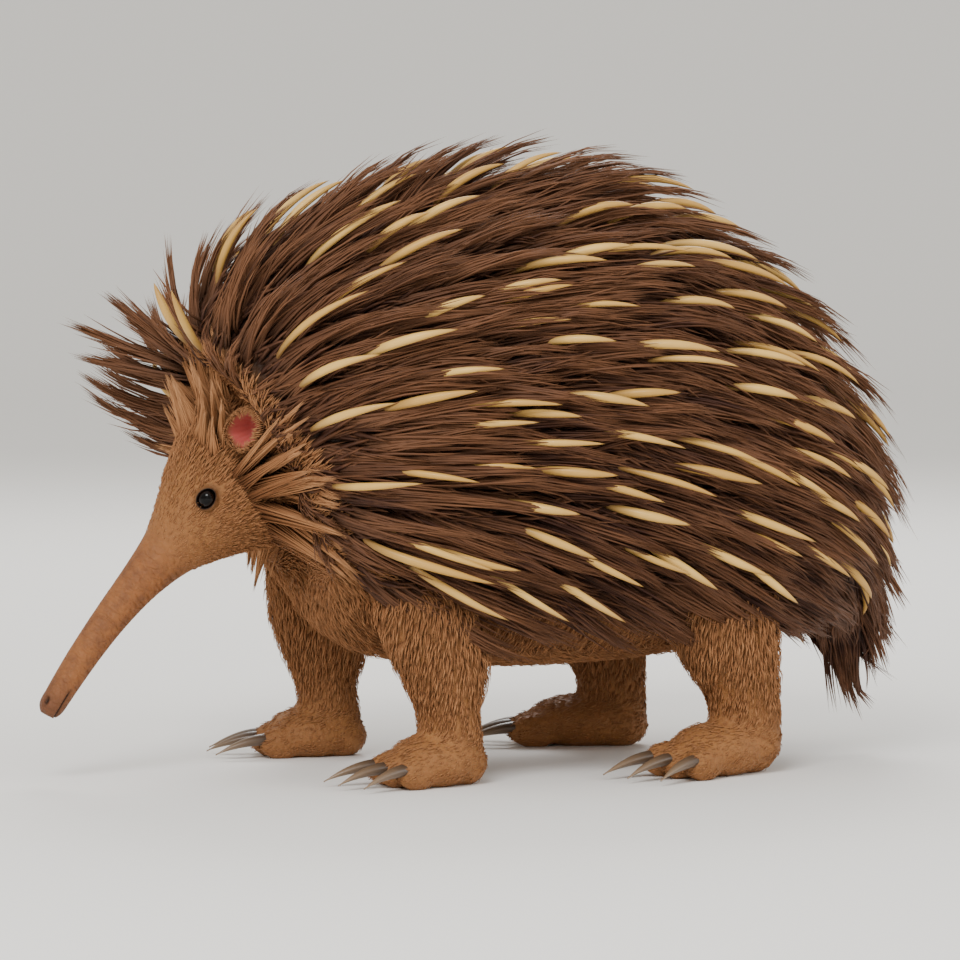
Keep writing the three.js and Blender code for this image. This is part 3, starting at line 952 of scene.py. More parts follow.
def hair_lines(surface: Surface, seats: Seats, lie: Lie, steps: Array) -> Array:
    """Middle lines of hairs.

    Each point lies between two lines: one follows the body at a height that grows to the tip,
    the other is straight, at the lift angle, and sags by the droop.

    Args:
        surface: What the hairs grow on.
        seats: Their roots.
        lie: Their lie.
        steps: Shares of the length.

    Returns:
        Points with one row a hair and one column a step.
    """
    t = steps[None, :]
    flat = (np.cos(lie.lift) * lie.length)[:, None]
    rise = (np.sin(lie.lift) * lie.length)[:, None]
    side = np.where(seats.phi < 0, -1.0, 1.0)[:, None]
    angle = np.abs(seats.phi)[:, None]
    droop = lie.droop[:, None]
    k = seats.k[:, None] + t * flat / seats.per_station[:, None]
    lowest = math.pi - 0.05
    lowered = np.minimum(angle + t * droop * flat / seats.per_radian[:, None], lowest)
    under = surface.seats(k, side * lowered)
    height = lerp(-lie.sink, lie.tip[:, None], np.sin(t * math.pi / 2) ** lie.swell)
    on_body = under.point + under.out * height[..., None]
    along, out = seats.along[:, None, :], seats.out[:, None, :]
    straight = seats.point[:, None, :] + along * (t * flat)[..., None]
    straight = straight + out * (t * rise - lie.sink)[..., None]
    straight[..., 2] -= t * t * droop * flat * smoothstep(angle, 0.6, 1.4)
    return lerp(on_body, straight, lie.freedom[:, None, None])


def resample(lines: Array, owner: Array, places: Array) -> Array:
    """Points at given places along lines of evenly spaced points.

    Args:
        lines: One line a row.
        owner: Which line each result follows.
        places: Shares of the line, one row a result.

    Returns:
        One line a row, by linear interpolation between neighbouring points.
    """
    last = lines.shape[1] - 1
    place = np.clip(places, 0, 1) * last
    i = np.minimum(np.floor(place).astype(int), last - 1)
    w = (place - i)[..., None]
    return lerp(lines[owner[:, None], i], lines[owner[:, None], i + 1], w)


def square_distances(points: Array, others: Array, block: int) -> Iterator[Array]:
    """Squares of the distances from points to others: a^2 - 2ab + b^2.

    Args:
        points: One point a row.
        others: One other point a row.
        block: About how many points are done at once, to save memory.

    Yields:
        A table for each block, with a row for each of its points and a column for each other.
    """
    for part in np.array_split(points, max(1, len(points) // block)):
        yield (part**2).sum(1)[:, None] - 2 * part @ others.T + (others**2).sum(1)[None, :]


def nearest(points: Array, others: Array) -> Array:
    """The number of the nearest other point for each point."""
    return np.concatenate([table.argmin(axis=1) for table in square_distances(points, others, 2000)])


@dataclass
class Gather:
    """How hairs gather into locks.

    The pull is the share of a hair's distance from its lock that is gone at the tip, for all
    locks or one value a lock. The stray is the spread of the disorder at the tip. Hairs at the
    lock's edge are shorter by the edge share, and chance takes off up to the ragged share. The
    wild share of hairs is loose, with any length in the wild lengths.
    """

    pull: Array | float
    stray: float
    ragged: float = 0.34
    wild: float = 0.2
    edge: float = 0.36
    wild_lengths: tuple[float, float] = (0.35, 0.95)
    wild_pull: float = 0.6
    wild_stray: float = 2.4

    def hairs(self, lines: Array, locks: Seats, roots: Seats, steps: Array) -> tuple[Array, Array]:
        """Hairs that follow their nearest lock and close on it towards the tip.

        A hair's line is its lock's line, plus its root's distance from the lock's root, which
        shrinks along the length, plus a disorder that grows. Hairs from the lock's edge are
        shorter, which makes its point. Loose hairs do as under-wool does.

        Args:
            lines: The locks' middle lines, of evenly spaced points.
            locks: The locks' seats.
            roots: The hairs' seats.
            steps: Shares of the length.

        Returns:
            The hairs' lines and the number of each one's lock.
        """
        owner = nearest(roots.point, locks.point)
        count = len(roots.k)
        t = steps[None, :]
        offset = roots.point - locks.point[owner]
        distance = np.linalg.norm(offset, axis=1)
        edge = np.clip(distance / np.quantile(distance, 0.9), 0, 1)
        loose = RNG.uniform(0, 1, count) < self.wild
        any_length = RNG.uniform(*self.wild_lengths, count)
        ratio = np.where(loose, any_length, 1 - self.edge * edge**2 - self.ragged * RNG.beta(1, 2.2, count))
        path = resample(lines, owner, t * ratio[:, None])
        closing = np.broadcast_to(self.pull, len(locks.k))[owner] * np.where(loose, self.wild_pull, 1.0)
        spread = 1 - closing[:, None] * t**0.8
        disorder = RNG.normal(0, 1, (count, 3)) * np.where(loose, self.wild_stray, 1.0)[:, None] * self.stray
        path = path + offset[:, None, :] * spread[..., None] + disorder[:, None, :] * (t**1.5)[..., None]
        return path, owner


FLAT_HAIR = np.array([[0.5, 0.0], [0.0, 0.4], [-0.5, 0.0]])
CORNERS = np.arange(8) * math.pi / 4
ROUND_HORN = np.stack([np.cos(CORNERS), np.sin(CORNERS)], -1) / 2


@dataclass
class Strands:
    """Tapered hairs or spines ready to be meshed: lines, ways out, widths, tones and OFBake places."""

    lines: Array
    out: Array
    width: Array
    tone: Array
    uv: Array
    steps: Array
    profile: Array = field(default_factory=lambda: FLAT_HAIR)
    start: float = 0.3
    power: float = 0.75
    patch: float = 0.0014

    def of(self, chosen: Array) -> "Strands":
        """The chosen strands only."""
        kept = {name: getattr(self, name)[chosen] for name in ("lines", "out", "width", "tone", "uv")}
        return replace(self, **kept)

    def mesh(self, name: str) -> bpy.types.Mesh:
        """The strands as one mesh.

        Every strand is its profile carried along its line and closed to a point, with a fan over
        its sunken root. Its girth is a power of the sine of an angle that runs along the strand
        from the start share of a half turn to the whole of it.

        Args:
            name: The mesh's name.

        Returns:
            The mesh. Each strand has a small patch of the OFBake map round its own place.
        """
        lines = self.lines
        count, steps = lines.shape[:2]
        corners = len(self.profile)
        ahead = np.concatenate([lines[:, 1:], 2 * lines[:, -1:] - lines[:, -2:-1]], axis=1)
        before = np.concatenate([lines[:, :1], lines[:, :-1]], axis=1)
        way = unit(ahead - before)[:, :-1]
        side = unit(np.cross(self.out[:, None, :], way))
        up = np.cross(way, side)
        t = self.steps[:-1]
        girth = np.sin(math.pi * lerp(self.start, 1, t)) ** self.power * self.width[:, None]
        across, high = self.profile[:, 0, None], self.profile[:, 1, None]
        section = side[:, :, None, :] * across + up[:, :, None, :] * high
        rings = lines[:, :-1, None, :] + section * girth[:, :, None, None]
        points = np.concatenate([rings.reshape(count, -1, 3), lines[:, -1:]], axis=1)
        per = points.shape[1]
        faces = (self.template(steps, corners)[None] + (np.arange(count) * per)[:, None, None]).reshape(-1, 3)
        shares = np.append(np.repeat(t, corners), 1.0)
        around = np.append(np.tile(np.linspace(-1, 1, corners), steps - 1), 0.0)
        patch = np.stack([around, 2 * shares - 1], -1) * self.patch
        uv = (self.uv[:, None, :] + patch[None]).reshape(-1, 2)
        values = {"along": np.tile(shares, count), "tone": np.repeat(self.tone, per)}
        return tri_mesh(name, world(points.reshape(-1, 3)), faces, values, uv)

    @staticmethod
    def template(steps: int, corners: int) -> Array:
        """The triangles of one strand.

        Args:
            steps: Points of its line.
            corners: Corners of its profile.

        Returns:
            Vertex numbers, three a row: the root's fan, the sides and the point.
        """
        faces = [[0, j + 1, j] for j in range(1, corners - 1)]
        for i in range(steps - 2):
            for a in range(corners):
                b = (a + 1) % corners
                near, far = corners * i, corners * (i + 1)
                faces += [[near + a, near + b, far + b], [near + a, far + b, far + a]]
        rim, tip = corners * (steps - 2), corners * (steps - 1)
        faces += [[rim + a, rim + (a + 1) % corners, tip] for a in range(corners)]
        return np.array(faces)

    def build(self, name: str, slot: str, material: bpy.types.Material, pieces: int = 1) -> None:
        """Makes the strands as a few pieces of equal count, cut along the body from front to back.

        Args:
            name: The piece's name, numbered if there are more.
            slot: Not used.
            material: The finish.
            pieces: How many pieces.
        """
        order = np.argsort(self.lines[:, 0, 0], kind="stable")
        for number, chosen in enumerate(np.array_split(order, pieces)):
            label = name if pieces == 1 else f"{name}_{number + 1}"
            make_object(label, self.of(chosen).mesh(label), material)


def unrolled(seats: Seats, last: float) -> Array:
    """OFBake places on an unwrap of a surface: angle across, station up."""
    return np.stack([seats.phi / (2 * math.pi) + 0.5, seats.k / (last + 1) + 0.04], -1) * 0.98 + 0.01


@dataclass
class Coat:
    """The long guard hair: many thin strands gathered into pointed locks.

    A lock stands for a square of the pitch, and the coat covers the area. The depth is that of
    the locks' tips over the skin.
    """

    strands: int = 39500
    hood_strands: int = 900
    hood_locks: int = 12
    hem_strands: int = 2000
    hem_locks: int = 52
    wool: int = 7800
    pitch: float = 16.5
    area: float = 330000.0
    depth: float = 24.0
    length: float = 75.0
    width: float = 1.7
    pull: float = 0.9
    hood_pull: float = 0.72
    stray: float = 1.3
    steps: Array = field(default_factory=lambda: np.array([0, 0.22, 0.46, 0.74, 1.0]))
    wool_steps: Array = field(default_factory=lambda: np.array([0, 0.35, 0.7, 1.0]))

    @staticmethod
    def lift(k: Array) -> Array:
        """How steeply the coat stands: raised like a hood behind the head, lying down over the back."""
        return np.radians(lerp(16, 27, smoothstep(k, 0.3, 1.2)) - 13 * smoothstep(k, 1, 2.4))

    @staticmethod
    def freedom(k: Array, phi: Array) -> Array:
        """How much of the straight line a lock has, least over the back and the front of the flanks.

        Args:
            k: Stations.
            phi: Angles.

        Returns:
            A share for each lock.
        """
        base = lerp(lerp(0.8, 0.24, smoothstep(k, 0.7, 1.8)), 0.5, smoothstep(k, 6, 8.5))
        flank = smoothstep(np.abs(phi), 0.5, 1.3) * (1 - smoothstep(k, 1.5, 4))
        return base * lerp(1, 0.45, flank)

    @staticmethod
    def hood(k: Array, phi: Array) -> Array:
        """Where the collar stands up beside the right cheek, which the picture shows past the forehead."""
        return (1 - smoothstep(k, 0.7, 1.5)) * smoothstep(-phi, 0.2, 0.6) * (1 - smoothstep(-phi, 1.5, 1.72))

    @staticmethod
    def collar(count: int) -> Seats:
        """More seats for the hood, spread evenly down the right side of the collar."""
        return TRUNK.seats(RNG.uniform(0.38, 0.95, count), -np.linspace(0.45, 1.6, count))

    @staticmethod
    def fringe(count: int) -> Seats:
        """More seats along both sides' hems, where the coat ends in a row of hanging points.

        Args:
            count: How many, on the right and the left in turn.

        Returns:
            The seats.
        """
        side = np.where(np.arange(count) % 2 == 0, -1.0, 1.0)
        k = np.linspace(1.5, 8.8, count) + RNG.uniform(-0.08, 0.08, count)
        return TRUNK.seats(k, side * (HEM - RNG.uniform(0, 0.13, count)))

    @staticmethod
    def height(k: Array, phi: Array, chance: Array) -> Array:
        """How high the tips stand. The highest of back and rear break the outline.

        Args:
            k: Stations.
            phi: Angles.
            chance: A random share for each lock.

        Returns:
            Shares of the coat's depth.
        """
        back, rear = 1 - smoothstep(np.abs(phi), 0.6, 1.2), smoothstep(k, 6.5, 8.5)
        shown = np.maximum(back, rear) * smoothstep(k, 1.2, 2.2)
        return chance + 0.35 * smoothstep(chance, 0.86, 1.0) * shown

    def lie(self, seats: Seats) -> Lie:
        """The lie of locks.

        They are raised beside the right cheek, tucked under the ruff on the left and shorter at
        the tail.

        Args:
            seats: The locks' seats.

        Returns:
            Their lie.
        """
        count = len(seats.k)
        k, phi = seats.k, seats.phi
        low = smoothstep(np.abs(phi), 1.5, HEM)
        raised = self.hood(k, phi)
        by_ruff = np.maximum(smoothstep(phi, 0.6, 1.0), smoothstep(-phi, 1.58, 1.76))
        tucked = (1 - smoothstep(k, 0.8, 1.35)) * by_ruff
        short = lerp(0.68, 1, smoothstep(k, 0.4, 1.8)) * lerp(1, 0.72, smoothstep(k, 8.6, 9.6))
        short = lerp(lerp(short, 0.95, raised), 0.4, tucked)
        freedom = np.where(k > 9, 0.7, self.freedom(k, phi))
        return Lie(
            length=self.length * short * RNG.uniform(0.8, 1.12, count),
            lift=self.lift(k) + math.radians(15) * raised + RNG.uniform(-0.09, 0.09, count),
            freedom=lerp(freedom, 1, raised) * (1 - tucked),
            droop=lerp(lerp(0.1, 0.36, low), -0.55, raised) + RNG.uniform(-0.12, 0.12, count),
            tip=self.depth * self.height(k, phi, RNG.uniform(0.45, 1.1, count)) * lerp(1, 0.22, tucked),
        )

    @staticmethod
    def covered(seats: Seats) -> Seats:
        """The seats that lie above the coat's hem. The tail is covered all round.

        Args:
            seats: The seats to choose from.

        Returns:
            Those under the coat.
        """
        limit = lerp(HEM - 0.1, HEM, smoothstep(seats.k, 0.8, 2))
        limit = limit + (math.pi - HEM) * smoothstep(seats.k, 8.6, 9.2)
        return seats.of(np.abs(seats.phi) < limit)

    @staticmethod
    def shade(seats: Seats) -> Array:
        """The coat's tones: darker low down, broad patches in slow waves, painted light in front and painted
        shade behind.

        Args:
            seats: Where.

        Returns:
            Tones from dark to light.
        """
        k, phi = seats.k, seats.phi
        waves = 0.16 * np.sin(1.9 * k + 2.3 * phi) + 0.12 * np.sin(3.1 * k - 3.7 * phi + 1.0)
        # Painted light over the front of the coat and painted shade over its rear
        ends = 0.28 * (1 - smoothstep(k, 1, 4)) - 0.16 * smoothstep(k, 5.5, 8.5)
        return 0.6 - 0.34 * smoothstep(np.abs(phi), 0.9, 2.0) + waves + ends

    def seats(self, count: int, ends: tuple[float, float], hood: int, hem: int) -> Seats:
        """Seats over the whole coat, with more in the hood and along the hem.

        Args:
            count: How many before those under the hem are left out.
            ends: First and last station.
            hood: More for the hood.
            hem: More for the hem.

        Returns:
            The seats.
        """
        spread = self.covered(TRUNK.scatter(count, *ends, math.pi))
        return spread.plus(self.collar(hood)).plus(self.fringe(hem))

    def build(self, material: bpy.types.Material) -> None:
        """Makes the coat in a few pieces from the neck to the tail.

        Args:
            material: The guard hair.
        """
        locks = self.seats(int(self.area / self.pitch**2), (0.35, 10.6), self.hood_locks, self.hem_locks)
        lines = hair_lines(TRUNK, locks, self.lie(locks), np.linspace(0, 1, 9))
        roots = self.seats(self.strands, (0.3, 10.8), self.hood_strands, self.hem_strands)
        pull = lerp(self.pull, self.hood_pull, self.hood(locks.k, locks.phi))
        path, owner = Gather(pull, self.stray).hairs(lines, locks, roots, self.steps)
        count = len(roots.k)
        lock_tone = self.shade(locks) + RNG.normal(0, 0.17, len(locks.k))
        tone = np.clip(lock_tone[owner] + RNG.normal(0, 0.12, count), 0, 1)
        width = self.width * RNG.uniform(0.7, 1.3, count)
        strands = Strands(path, roots.out, width, tone, unrolled(roots, TRUNK.last), self.steps)
        strands.of(Ears.clear(path)).build("coat", "coat", material, 5)
        self.under(material)

    def under(self, material: bpy.types.Material) -> None:
        """Short dark wool that lies close to the skin and fills the gaps between the locks.

        Args:
            material: The guard hair.
        """
        roots = self.covered(TRUNK.scatter(self.wool, 0.15, 10.8, math.pi))
        count = len(roots.k)
        lie = Lie(
            length=RNG.uniform(17, 30, count),
            lift=np.full(count, 0.3),
            freedom=RNG.uniform(0, 0.25, count),
            droop=RNG.uniform(-0.3, 0.6, count),
            tip=RNG.uniform(4, 11, count) * lerp(0.2, 1, smoothstep(roots.k, 0.9, 1.6)),
        )
        lines = hair_lines(TRUNK, roots, lie, self.wool_steps)
        width = RNG.uniform(2.0, 3.2, count)
        tone = RNG.uniform(0, 0.35, count)
        strands = Strands(lines, roots.out, width, tone, unrolled(roots, TRUNK.last), self.wool_steps)
        strands.build("under_wool", "coat", material)


@dataclass
class Spines:
    """Stiff cream spines scattered through the coat, lying back over it.

    The pitch is their distance in a row and from row to row, and each row is shifted against the
    last by a share of it, so that no two stand end to end.
    """

    pitch: float = 27.0
    length: float = 48.0
    width: float = 4.6
    shift: float = 0.382
    ends: tuple[float, float] = (0.7, 9.2)
    reach: float = HEM - 0.16
    disorder: tuple[float, float] = (0.22, 0.08)
    steps: Array = field(default_factory=lambda: np.linspace(0, 1, 13))

    def rows(self) -> Array:
        """Even rows of places round the trunk, then moved by a little disorder.

        Returns:
            Station and angle, one row a place.
        """
        rows = []
        k = self.ends[0]
        while k < self.ends[1]:
            probe = TRUNK.seats(np.array([k]), np.array([math.pi / 3]))
            count = max(3, round(float(2 * self.reach * probe.per_radian[0] / self.pitch)))
            shift = self.shift * len(rows) % 1
            phi = self.reach * (2 * (np.arange(count) + shift) / count - 1)
            rows.append(np.stack([np.full(count, k), phi], -1))
            k += self.pitch / float(probe.per_station[0])
        places = np.concatenate(rows)
        return places + RNG.uniform(-1, 1, places.shape) * np.array(self.disorder)

    def seats(self) -> Seats:
        """The rows without those in front of the collar, and thinned on top and behind.

        Returns:
            The spines' seats.
        """
        places = self.rows()
        k, phi = places[:, 0], places[:, 1]
        first = 0.55 + 0.75 * smoothstep(phi, 0.55, 0.9) + 1.2 * smoothstep(-phi, 1.1, 1.5)
        share = lerp(0.65, 0.97, smoothstep(np.abs(phi), 0.3, 0.75))
        thinned = RNG.uniform(0, 1, len(k)) < share * lerp(1, 0.78, smoothstep(k, 5.5, 8))
        chosen = (k > first) & thinned
        return TRUNK.seats(k[chosen], phi[chosen])

    def build(self, material: bpy.types.Material) -> None:
        """Makes all spines as one piece.

        Args:
            material: The horn.
        """
        seats = self.seats()
        count = len(seats.k)
        low = smoothstep(np.abs(seats.phi), 1.5, HEM)
        behind = smoothstep(seats.k, 5.5, 8.5)
        lie = Lie(
            length=self.length * RNG.uniform(0.75, 1.15, count) * lerp(1, 0.78, behind),
            lift=Coat.lift(seats.k) + RNG.uniform(-0.05, 0.05, count),
            freedom=Coat.freedom(seats.k, seats.phi),
            droop=lerp(0.08, 0.34, low) + RNG.uniform(-0.12, 0.12, count),
            tip=RNG.uniform(26, 30, count),
            swell=0.62,
        )
        lines = hair_lines(TRUNK, seats, lie, self.steps)
        width = self.width * RNG.uniform(0.75, 1.15, count)
        tone = RNG.uniform(0, 1, count)
        uv = unrolled(seats, TRUNK.last)
        strands = Strands(lines, seats.out, width, tone, uv, self.steps, ROUND_HORN, start=0.1)
        strands.build("spines", "spine", material)


@dataclass
class Ruff:
    """The brown ruff round the back of the head, in pointed locks."""

    strands: int = 8000
    locks: int = 66
    width: float = 1.1
    steps: Array = field(default_factory=lambda: np.array([0, 0.25, 0.5, 0.75, 1.0]))

    def lines(self, locks: Seats, steps: Array) -> Array:
        """Middle lines of the ruff's locks.

        Over the crown and on the right they stand free. On the left each one leaves the cheek
        outwards, bends and comes to lie on the coat's collar: a quadratic Bezier curve through
        the root, an elbow outside the collar's edge and a tip on the coat.

        Args:
            locks: Their seats.
            steps: Shares of the length.

        Returns:
            Points with one row a lock and one column a step.
        """
        count = len(locks.k)
        phi = locks.phi
        cheek = smoothstep(np.abs(phi), 0.7, 1.4)
        behind = smoothstep(locks.k, 9.6, 10.8)
        length = lerp(35, 40, cheek) * RNG.uniform(0.8, 1.15, count) * lerp(0.6, 1, behind)
        lift = np.radians(lerp(62, 56, cheek) + 38 * smoothstep(-phi, 0.5, 1.1))[:, None]
        lift = lift * lerp(0.6, 1, behind)[:, None]
        free = (locks.along * np.cos(lift) + locks.out * np.sin(lift)) * length[:, None]
        bend = (smoothstep(phi, 0.75, 1.2) * (1 - smoothstep(phi, 2.2, 2.6)))[:, None]
        on_coat = TRUNK.point(RNG.uniform(1.0, 1.55, count), phi, 18.0)
        over = TRUNK.point(np.full(count, 0.8), phi, 20.0)
        tip = lerp(locks.point + free, on_coat, bend)[:, None, :]
        elbow = lerp(locks.point + free / 2, over, bend)[:, None, :]
        root = (locks.point - locks.out * 1.5)[:, None, :]
        t = steps[None, :, None]
        return (1 - t) ** 2 * root + 2 * t * (1 - t) * elbow + t**2 * tip

    def build(self, material: bpy.types.Material) -> None:
        """Makes the ruff as one piece.

        Args:
            material: The short fur.
        """
        locks = HEAD.scatter(self.locks, 9.9, 12.2, 2.6, 1.0)
        lines = self.lines(locks, np.linspace(0, 1, 9))
        roots = HEAD.scatter(self.strands, 9.8, 12.3, 2.7, 1.0)
        gather = Gather(pull=0.95, stray=0.3, ragged=0.55, wild=0.06)
        path, owner = gather.hairs(lines, locks, roots, self.steps)
        count = len(roots.k)
        tone = np.clip(RNG.uniform(0.2, 0.8, len(locks.k))[owner] + RNG.normal(0, 0.15, count), 0, 1)
        width = self.width * RNG.uniform(0.7, 1.2, count)
        strands = Strands(path, roots.out, width, tone, unrolled(roots, HEAD.last), self.steps)
        strands.of(Ears.clear(path)).build("head_ruff", "face_fur", material)


# Skin


@dataclass
class Eye:
    """Where the eyes sit, and the almond opening of their lids."""

    at: float = 8.9
    angle: float = math.radians(70)
    radius: float = 6.2
    sunk: float = 4.0
    half_long: float = 5.4
    half_tall: float = 4.3
    lid: float = 1.1
    cornea: float = 0.06

    def seat(self, side: int) -> tuple[Array, Array, Array]:
        """The eyeball's middle, the way along the head and the way out."""
        point, along, out = HEAD.seat(self.at, -side * self.angle, HEAD.fur)
        return point - out * self.sunk, along, out

    def build(self, material: bpy.types.Material) -> None:
        """Makes the two smooth eyeballs with a slightly bulged cornea.

        Args:
            material: The wet eye.
        """
        ball = ellipsoid((0, 0, 0), (1, 1, 1), 33)
        bulge = 1 + self.cornea * smoothstep(ball[..., 0], 0.72, 1.0)
        ball = ball * (self.radius * bulge)[..., None]
        for name, side in SIDES.items():
            middle, along, out = self.seat(side)
            across = np.cross(out, along)
            points = middle + ball[..., :1] * out + ball[..., 1:2] * along + ball[..., 2:] * across
            vertices, faces = closed_grid(points)
            toward = (vertices - middle) @ out / self.radius
            iris = smoothstep(toward, 0.7, 0.8) * (1 - smoothstep(toward, 0.9, 0.94))
            mesh = tri_mesh(f"eyeball_{name}", world(vertices), faces, {"tone": iris})
            make_object(f"eyeball_{name}", mesh, material, (f"eye_{name}",))


@dataclass
class Skin:
    """One skin over beak, head, trunk, tail, legs and feet, which lies a little under the solids'.

    The mouth is a groove at its height under the arc, and a nostril a pit of the station and
    angle given, with a rim round it.
    """

    voxel: float = 2.7
    smoothing: int = 4
    inset: float = 0.3
    sole_inset: float = 3.5
    toe_inset: float = 1.3
    leg_inset: float = 0.8
    tip_zone: float = 22.0
    eye_zone: float = 11.0
    zones: tuple[float, ...] = (1.6, 1.25, 1.0)
    head_half: float = 40.0
    mouth: tuple[float, float, float] = (-2.2, 0.5, 0.9)
    nostril: tuple[float, float] = (2.6, math.radians(38))
    pit: tuple[float, float, float] = (2.3, 1.2, 1.3)
    rim: tuple[float, float, float] = (3.6, 2.3, 0.3)
    eye: Eye = field(default_factory=Eye)
    values: dict[str, Array] = field(default_factory=dict)

    def forms(self) -> list[tuple[Array, Array]]:
        """The closed forms that melt into the skin: trunk, head, and each leg with its foot and toes.

        Returns:
            Vertices and faces of each form.
        """
        head = np.linspace(0, HEAD.last, 200)
        half_way_up_the_fur = smoothstep(head, 6, 9)
        grids = [
            TRUNK.grid(np.linspace(0, TRUNK.last, 140), 96),
            HEAD.grid(head, 72, half_way_up_the_fur),
        ]
        for limb in LIMBS.values():
            for side in SIDES.values():
                grids.append(self.leg_grid(limb, side))
                for (at, rx, ry, rz), trim in ((limb.sole, self.sole_inset), (limb.heel, self.inset)):
                    radii = (rx - trim, ry - self.inset, rz - self.inset)
                    grids.append(limb.place(ellipsoid((at, 0, rz - 2.3), radii), side))
                for toe in TOES:
                    long, half, tall = limb.toe
                    radii = (long - 0.2, half - self.toe_inset, tall - 0.2)
                    grids.append(limb.on_toe(ellipsoid((0, 0, tall - 1.4), radii), toe, side))
        return [closed_grid(grid) for grid in grids]

    def leg_grid(self, limb: Limb, side: int) -> Array:
        """A leg's grid: an ellipse at each height along a smooth curve through its rings.

        Args:
            limb: The leg.
            side: Which side.

        Returns:
            The points by row and column.
        """
        ring = spline(limb.rings, np.linspace(0, 1, 50))[:, None, :]
        turn = circle(48)[None, :]
        x = limb.x - side * limb.stride + ring[..., 1] + (ring[..., 3] - self.leg_inset) * np.cos(turn)
        y = side * ring[..., 2] + (ring[..., 4] - self.leg_inset) * np.sin(turn)
        return np.stack([x, y, ring[..., 0] + 0 * turn], -1)

    def melt(self) -> bpy.types.Mesh:
        """The forms as one even mesh: a voxel surface round them all, then smoothed.

        Returns:
            The mesh.
        """
        points, faces = joined(self.forms())
        raw = bpy.data.objects.new("raw", tri_mesh("raw", world(points), faces, {}))
        bpy.context.scene.collection.objects.link(raw)
        remesh = raw.modifiers.new("voxels", "REMESH")
        remesh.mode = "VOXEL"
        remesh.voxel_size = self.voxel * MM
        smooth = raw.modifiers.new("smooth", "SMOOTH")
        smooth.factor = 0.5
        smooth.iterations = self.smoothing
        evaluated = raw.evaluated_get(bpy.context.evaluated_depsgraph_get())
        mesh = bpy.data.meshes.new_from_object(evaluated)
        bpy.data.objects.remove(raw)
        return mesh

    def refine(self, mesh: bpy.types.Mesh) -> None:
        """Splits the edges at the beak's tip and round the eyes, where the small forms are.

        Args:
            mesh: The skin, which is changed.
        """
        work = bmesh.new()
        work.from_mesh(mesh)
        for zone in self.zones:
            work.to_mesh(mesh)
            points = design_points(mesh)
            near = HEAD.arc_places(points)[0] < self.tip_zone * zone
            for side in SIDES.values():
                near |= np.linalg.norm(points - self.eye.seat(side)[0], axis=1) < self.eye_zone * zone
            chosen = near[read(mesh.edges, "vertices", 2, np.int32)].all(axis=1)
            work.edges.ensure_lookup_table()
            edges = [work.edges[i] for i in np.flatnonzero(chosen)]
            bmesh.ops.subdivide_edges(work, edges=edges, cuts=1, use_grid_fill=True)
        bmesh.ops.triangulate(work, faces=[f for f in work.faces if len(f.verts) > 4])
        work.to_mesh(mesh)
        work.free()

    def beak(self, points: Array) -> tuple[Array, Array]:
        """Sets the beak on its exact section, with the mouth as a groove along both sides.

        A vertex keeps its angle round the section and moves to the ellipse less the groove.

        Args:
            points: The skin's vertices.

        Returns:
            The moved vertices and how dark the mouth's line is at each.
        """
        s, height, y = HEAD.arc_places(points)
        ring = spline(HEAD.rings, HEAD.stations(s) / HEAD.last)
        up, down, half = ring[:, 1], ring[:, 2], ring[:, 3]
        middle, tall = (up - down) / 2, (up + down) / 2
        angle = np.arctan2(y / half, (height - middle) / tall)
        inside = (s > 0.6) & (s < 118) & (np.abs(height) < self.head_half)
        at, wide, deep = self.mouth
        groove = bell(height - at, wide) * (1 - smoothstep(s, 14, 19)) * deep
        exact_h = middle + (tall - groove) * np.cos(angle)
        exact_y = (half - groove) * np.sin(angle)
        share = np.where(inside, smoothstep(-s, -118, -100), 0)
        pitch = HEAD.pitch - s / HEAD.radius
        normal = np.stack([-np.sin(pitch), 0 * s, np.cos(pitch)], -1)
        moved = points + normal * (share * (exact_h - height))[:, None]
        moved[:, 1] += share * (exact_y - y)
        # The moved vertices and the painted shade in the mouth's groove at each.
        return moved, groove / deep * inside

    def nostrils(self, points: Array) -> tuple[Array, Array]:
        """Presses both nostrils in: each a bell-shaped pit with a ring of skin raised round it.

        Args:
            points: The skin's vertices.

        Returns:
            The moved vertices and the painted shade in the pits.
        """
        moved, line = points, np.zeros(len(points))
        long, wide, deep = self.pit
        rim_long, rim_wide, high = self.rim
        for side in SIDES.values():
            point, along, out = HEAD.seat(self.nostril[0], -side * self.nostril[1])
            local = moved - point
            a, b, c = local @ along, local @ np.cross(out, along), local @ out
            near = np.abs(c) < 4
            pit = np.exp(-((a / long) ** 2 + (b / wide) ** 2)) * near
            rim = bell(np.hypot(a / rim_long, b / rim_wide) - 1, 0.35) * near
            moved = moved - out * (deep * pit - high * rim)[:, None]
            line = np.maximum(line, pit)
        return moved, line

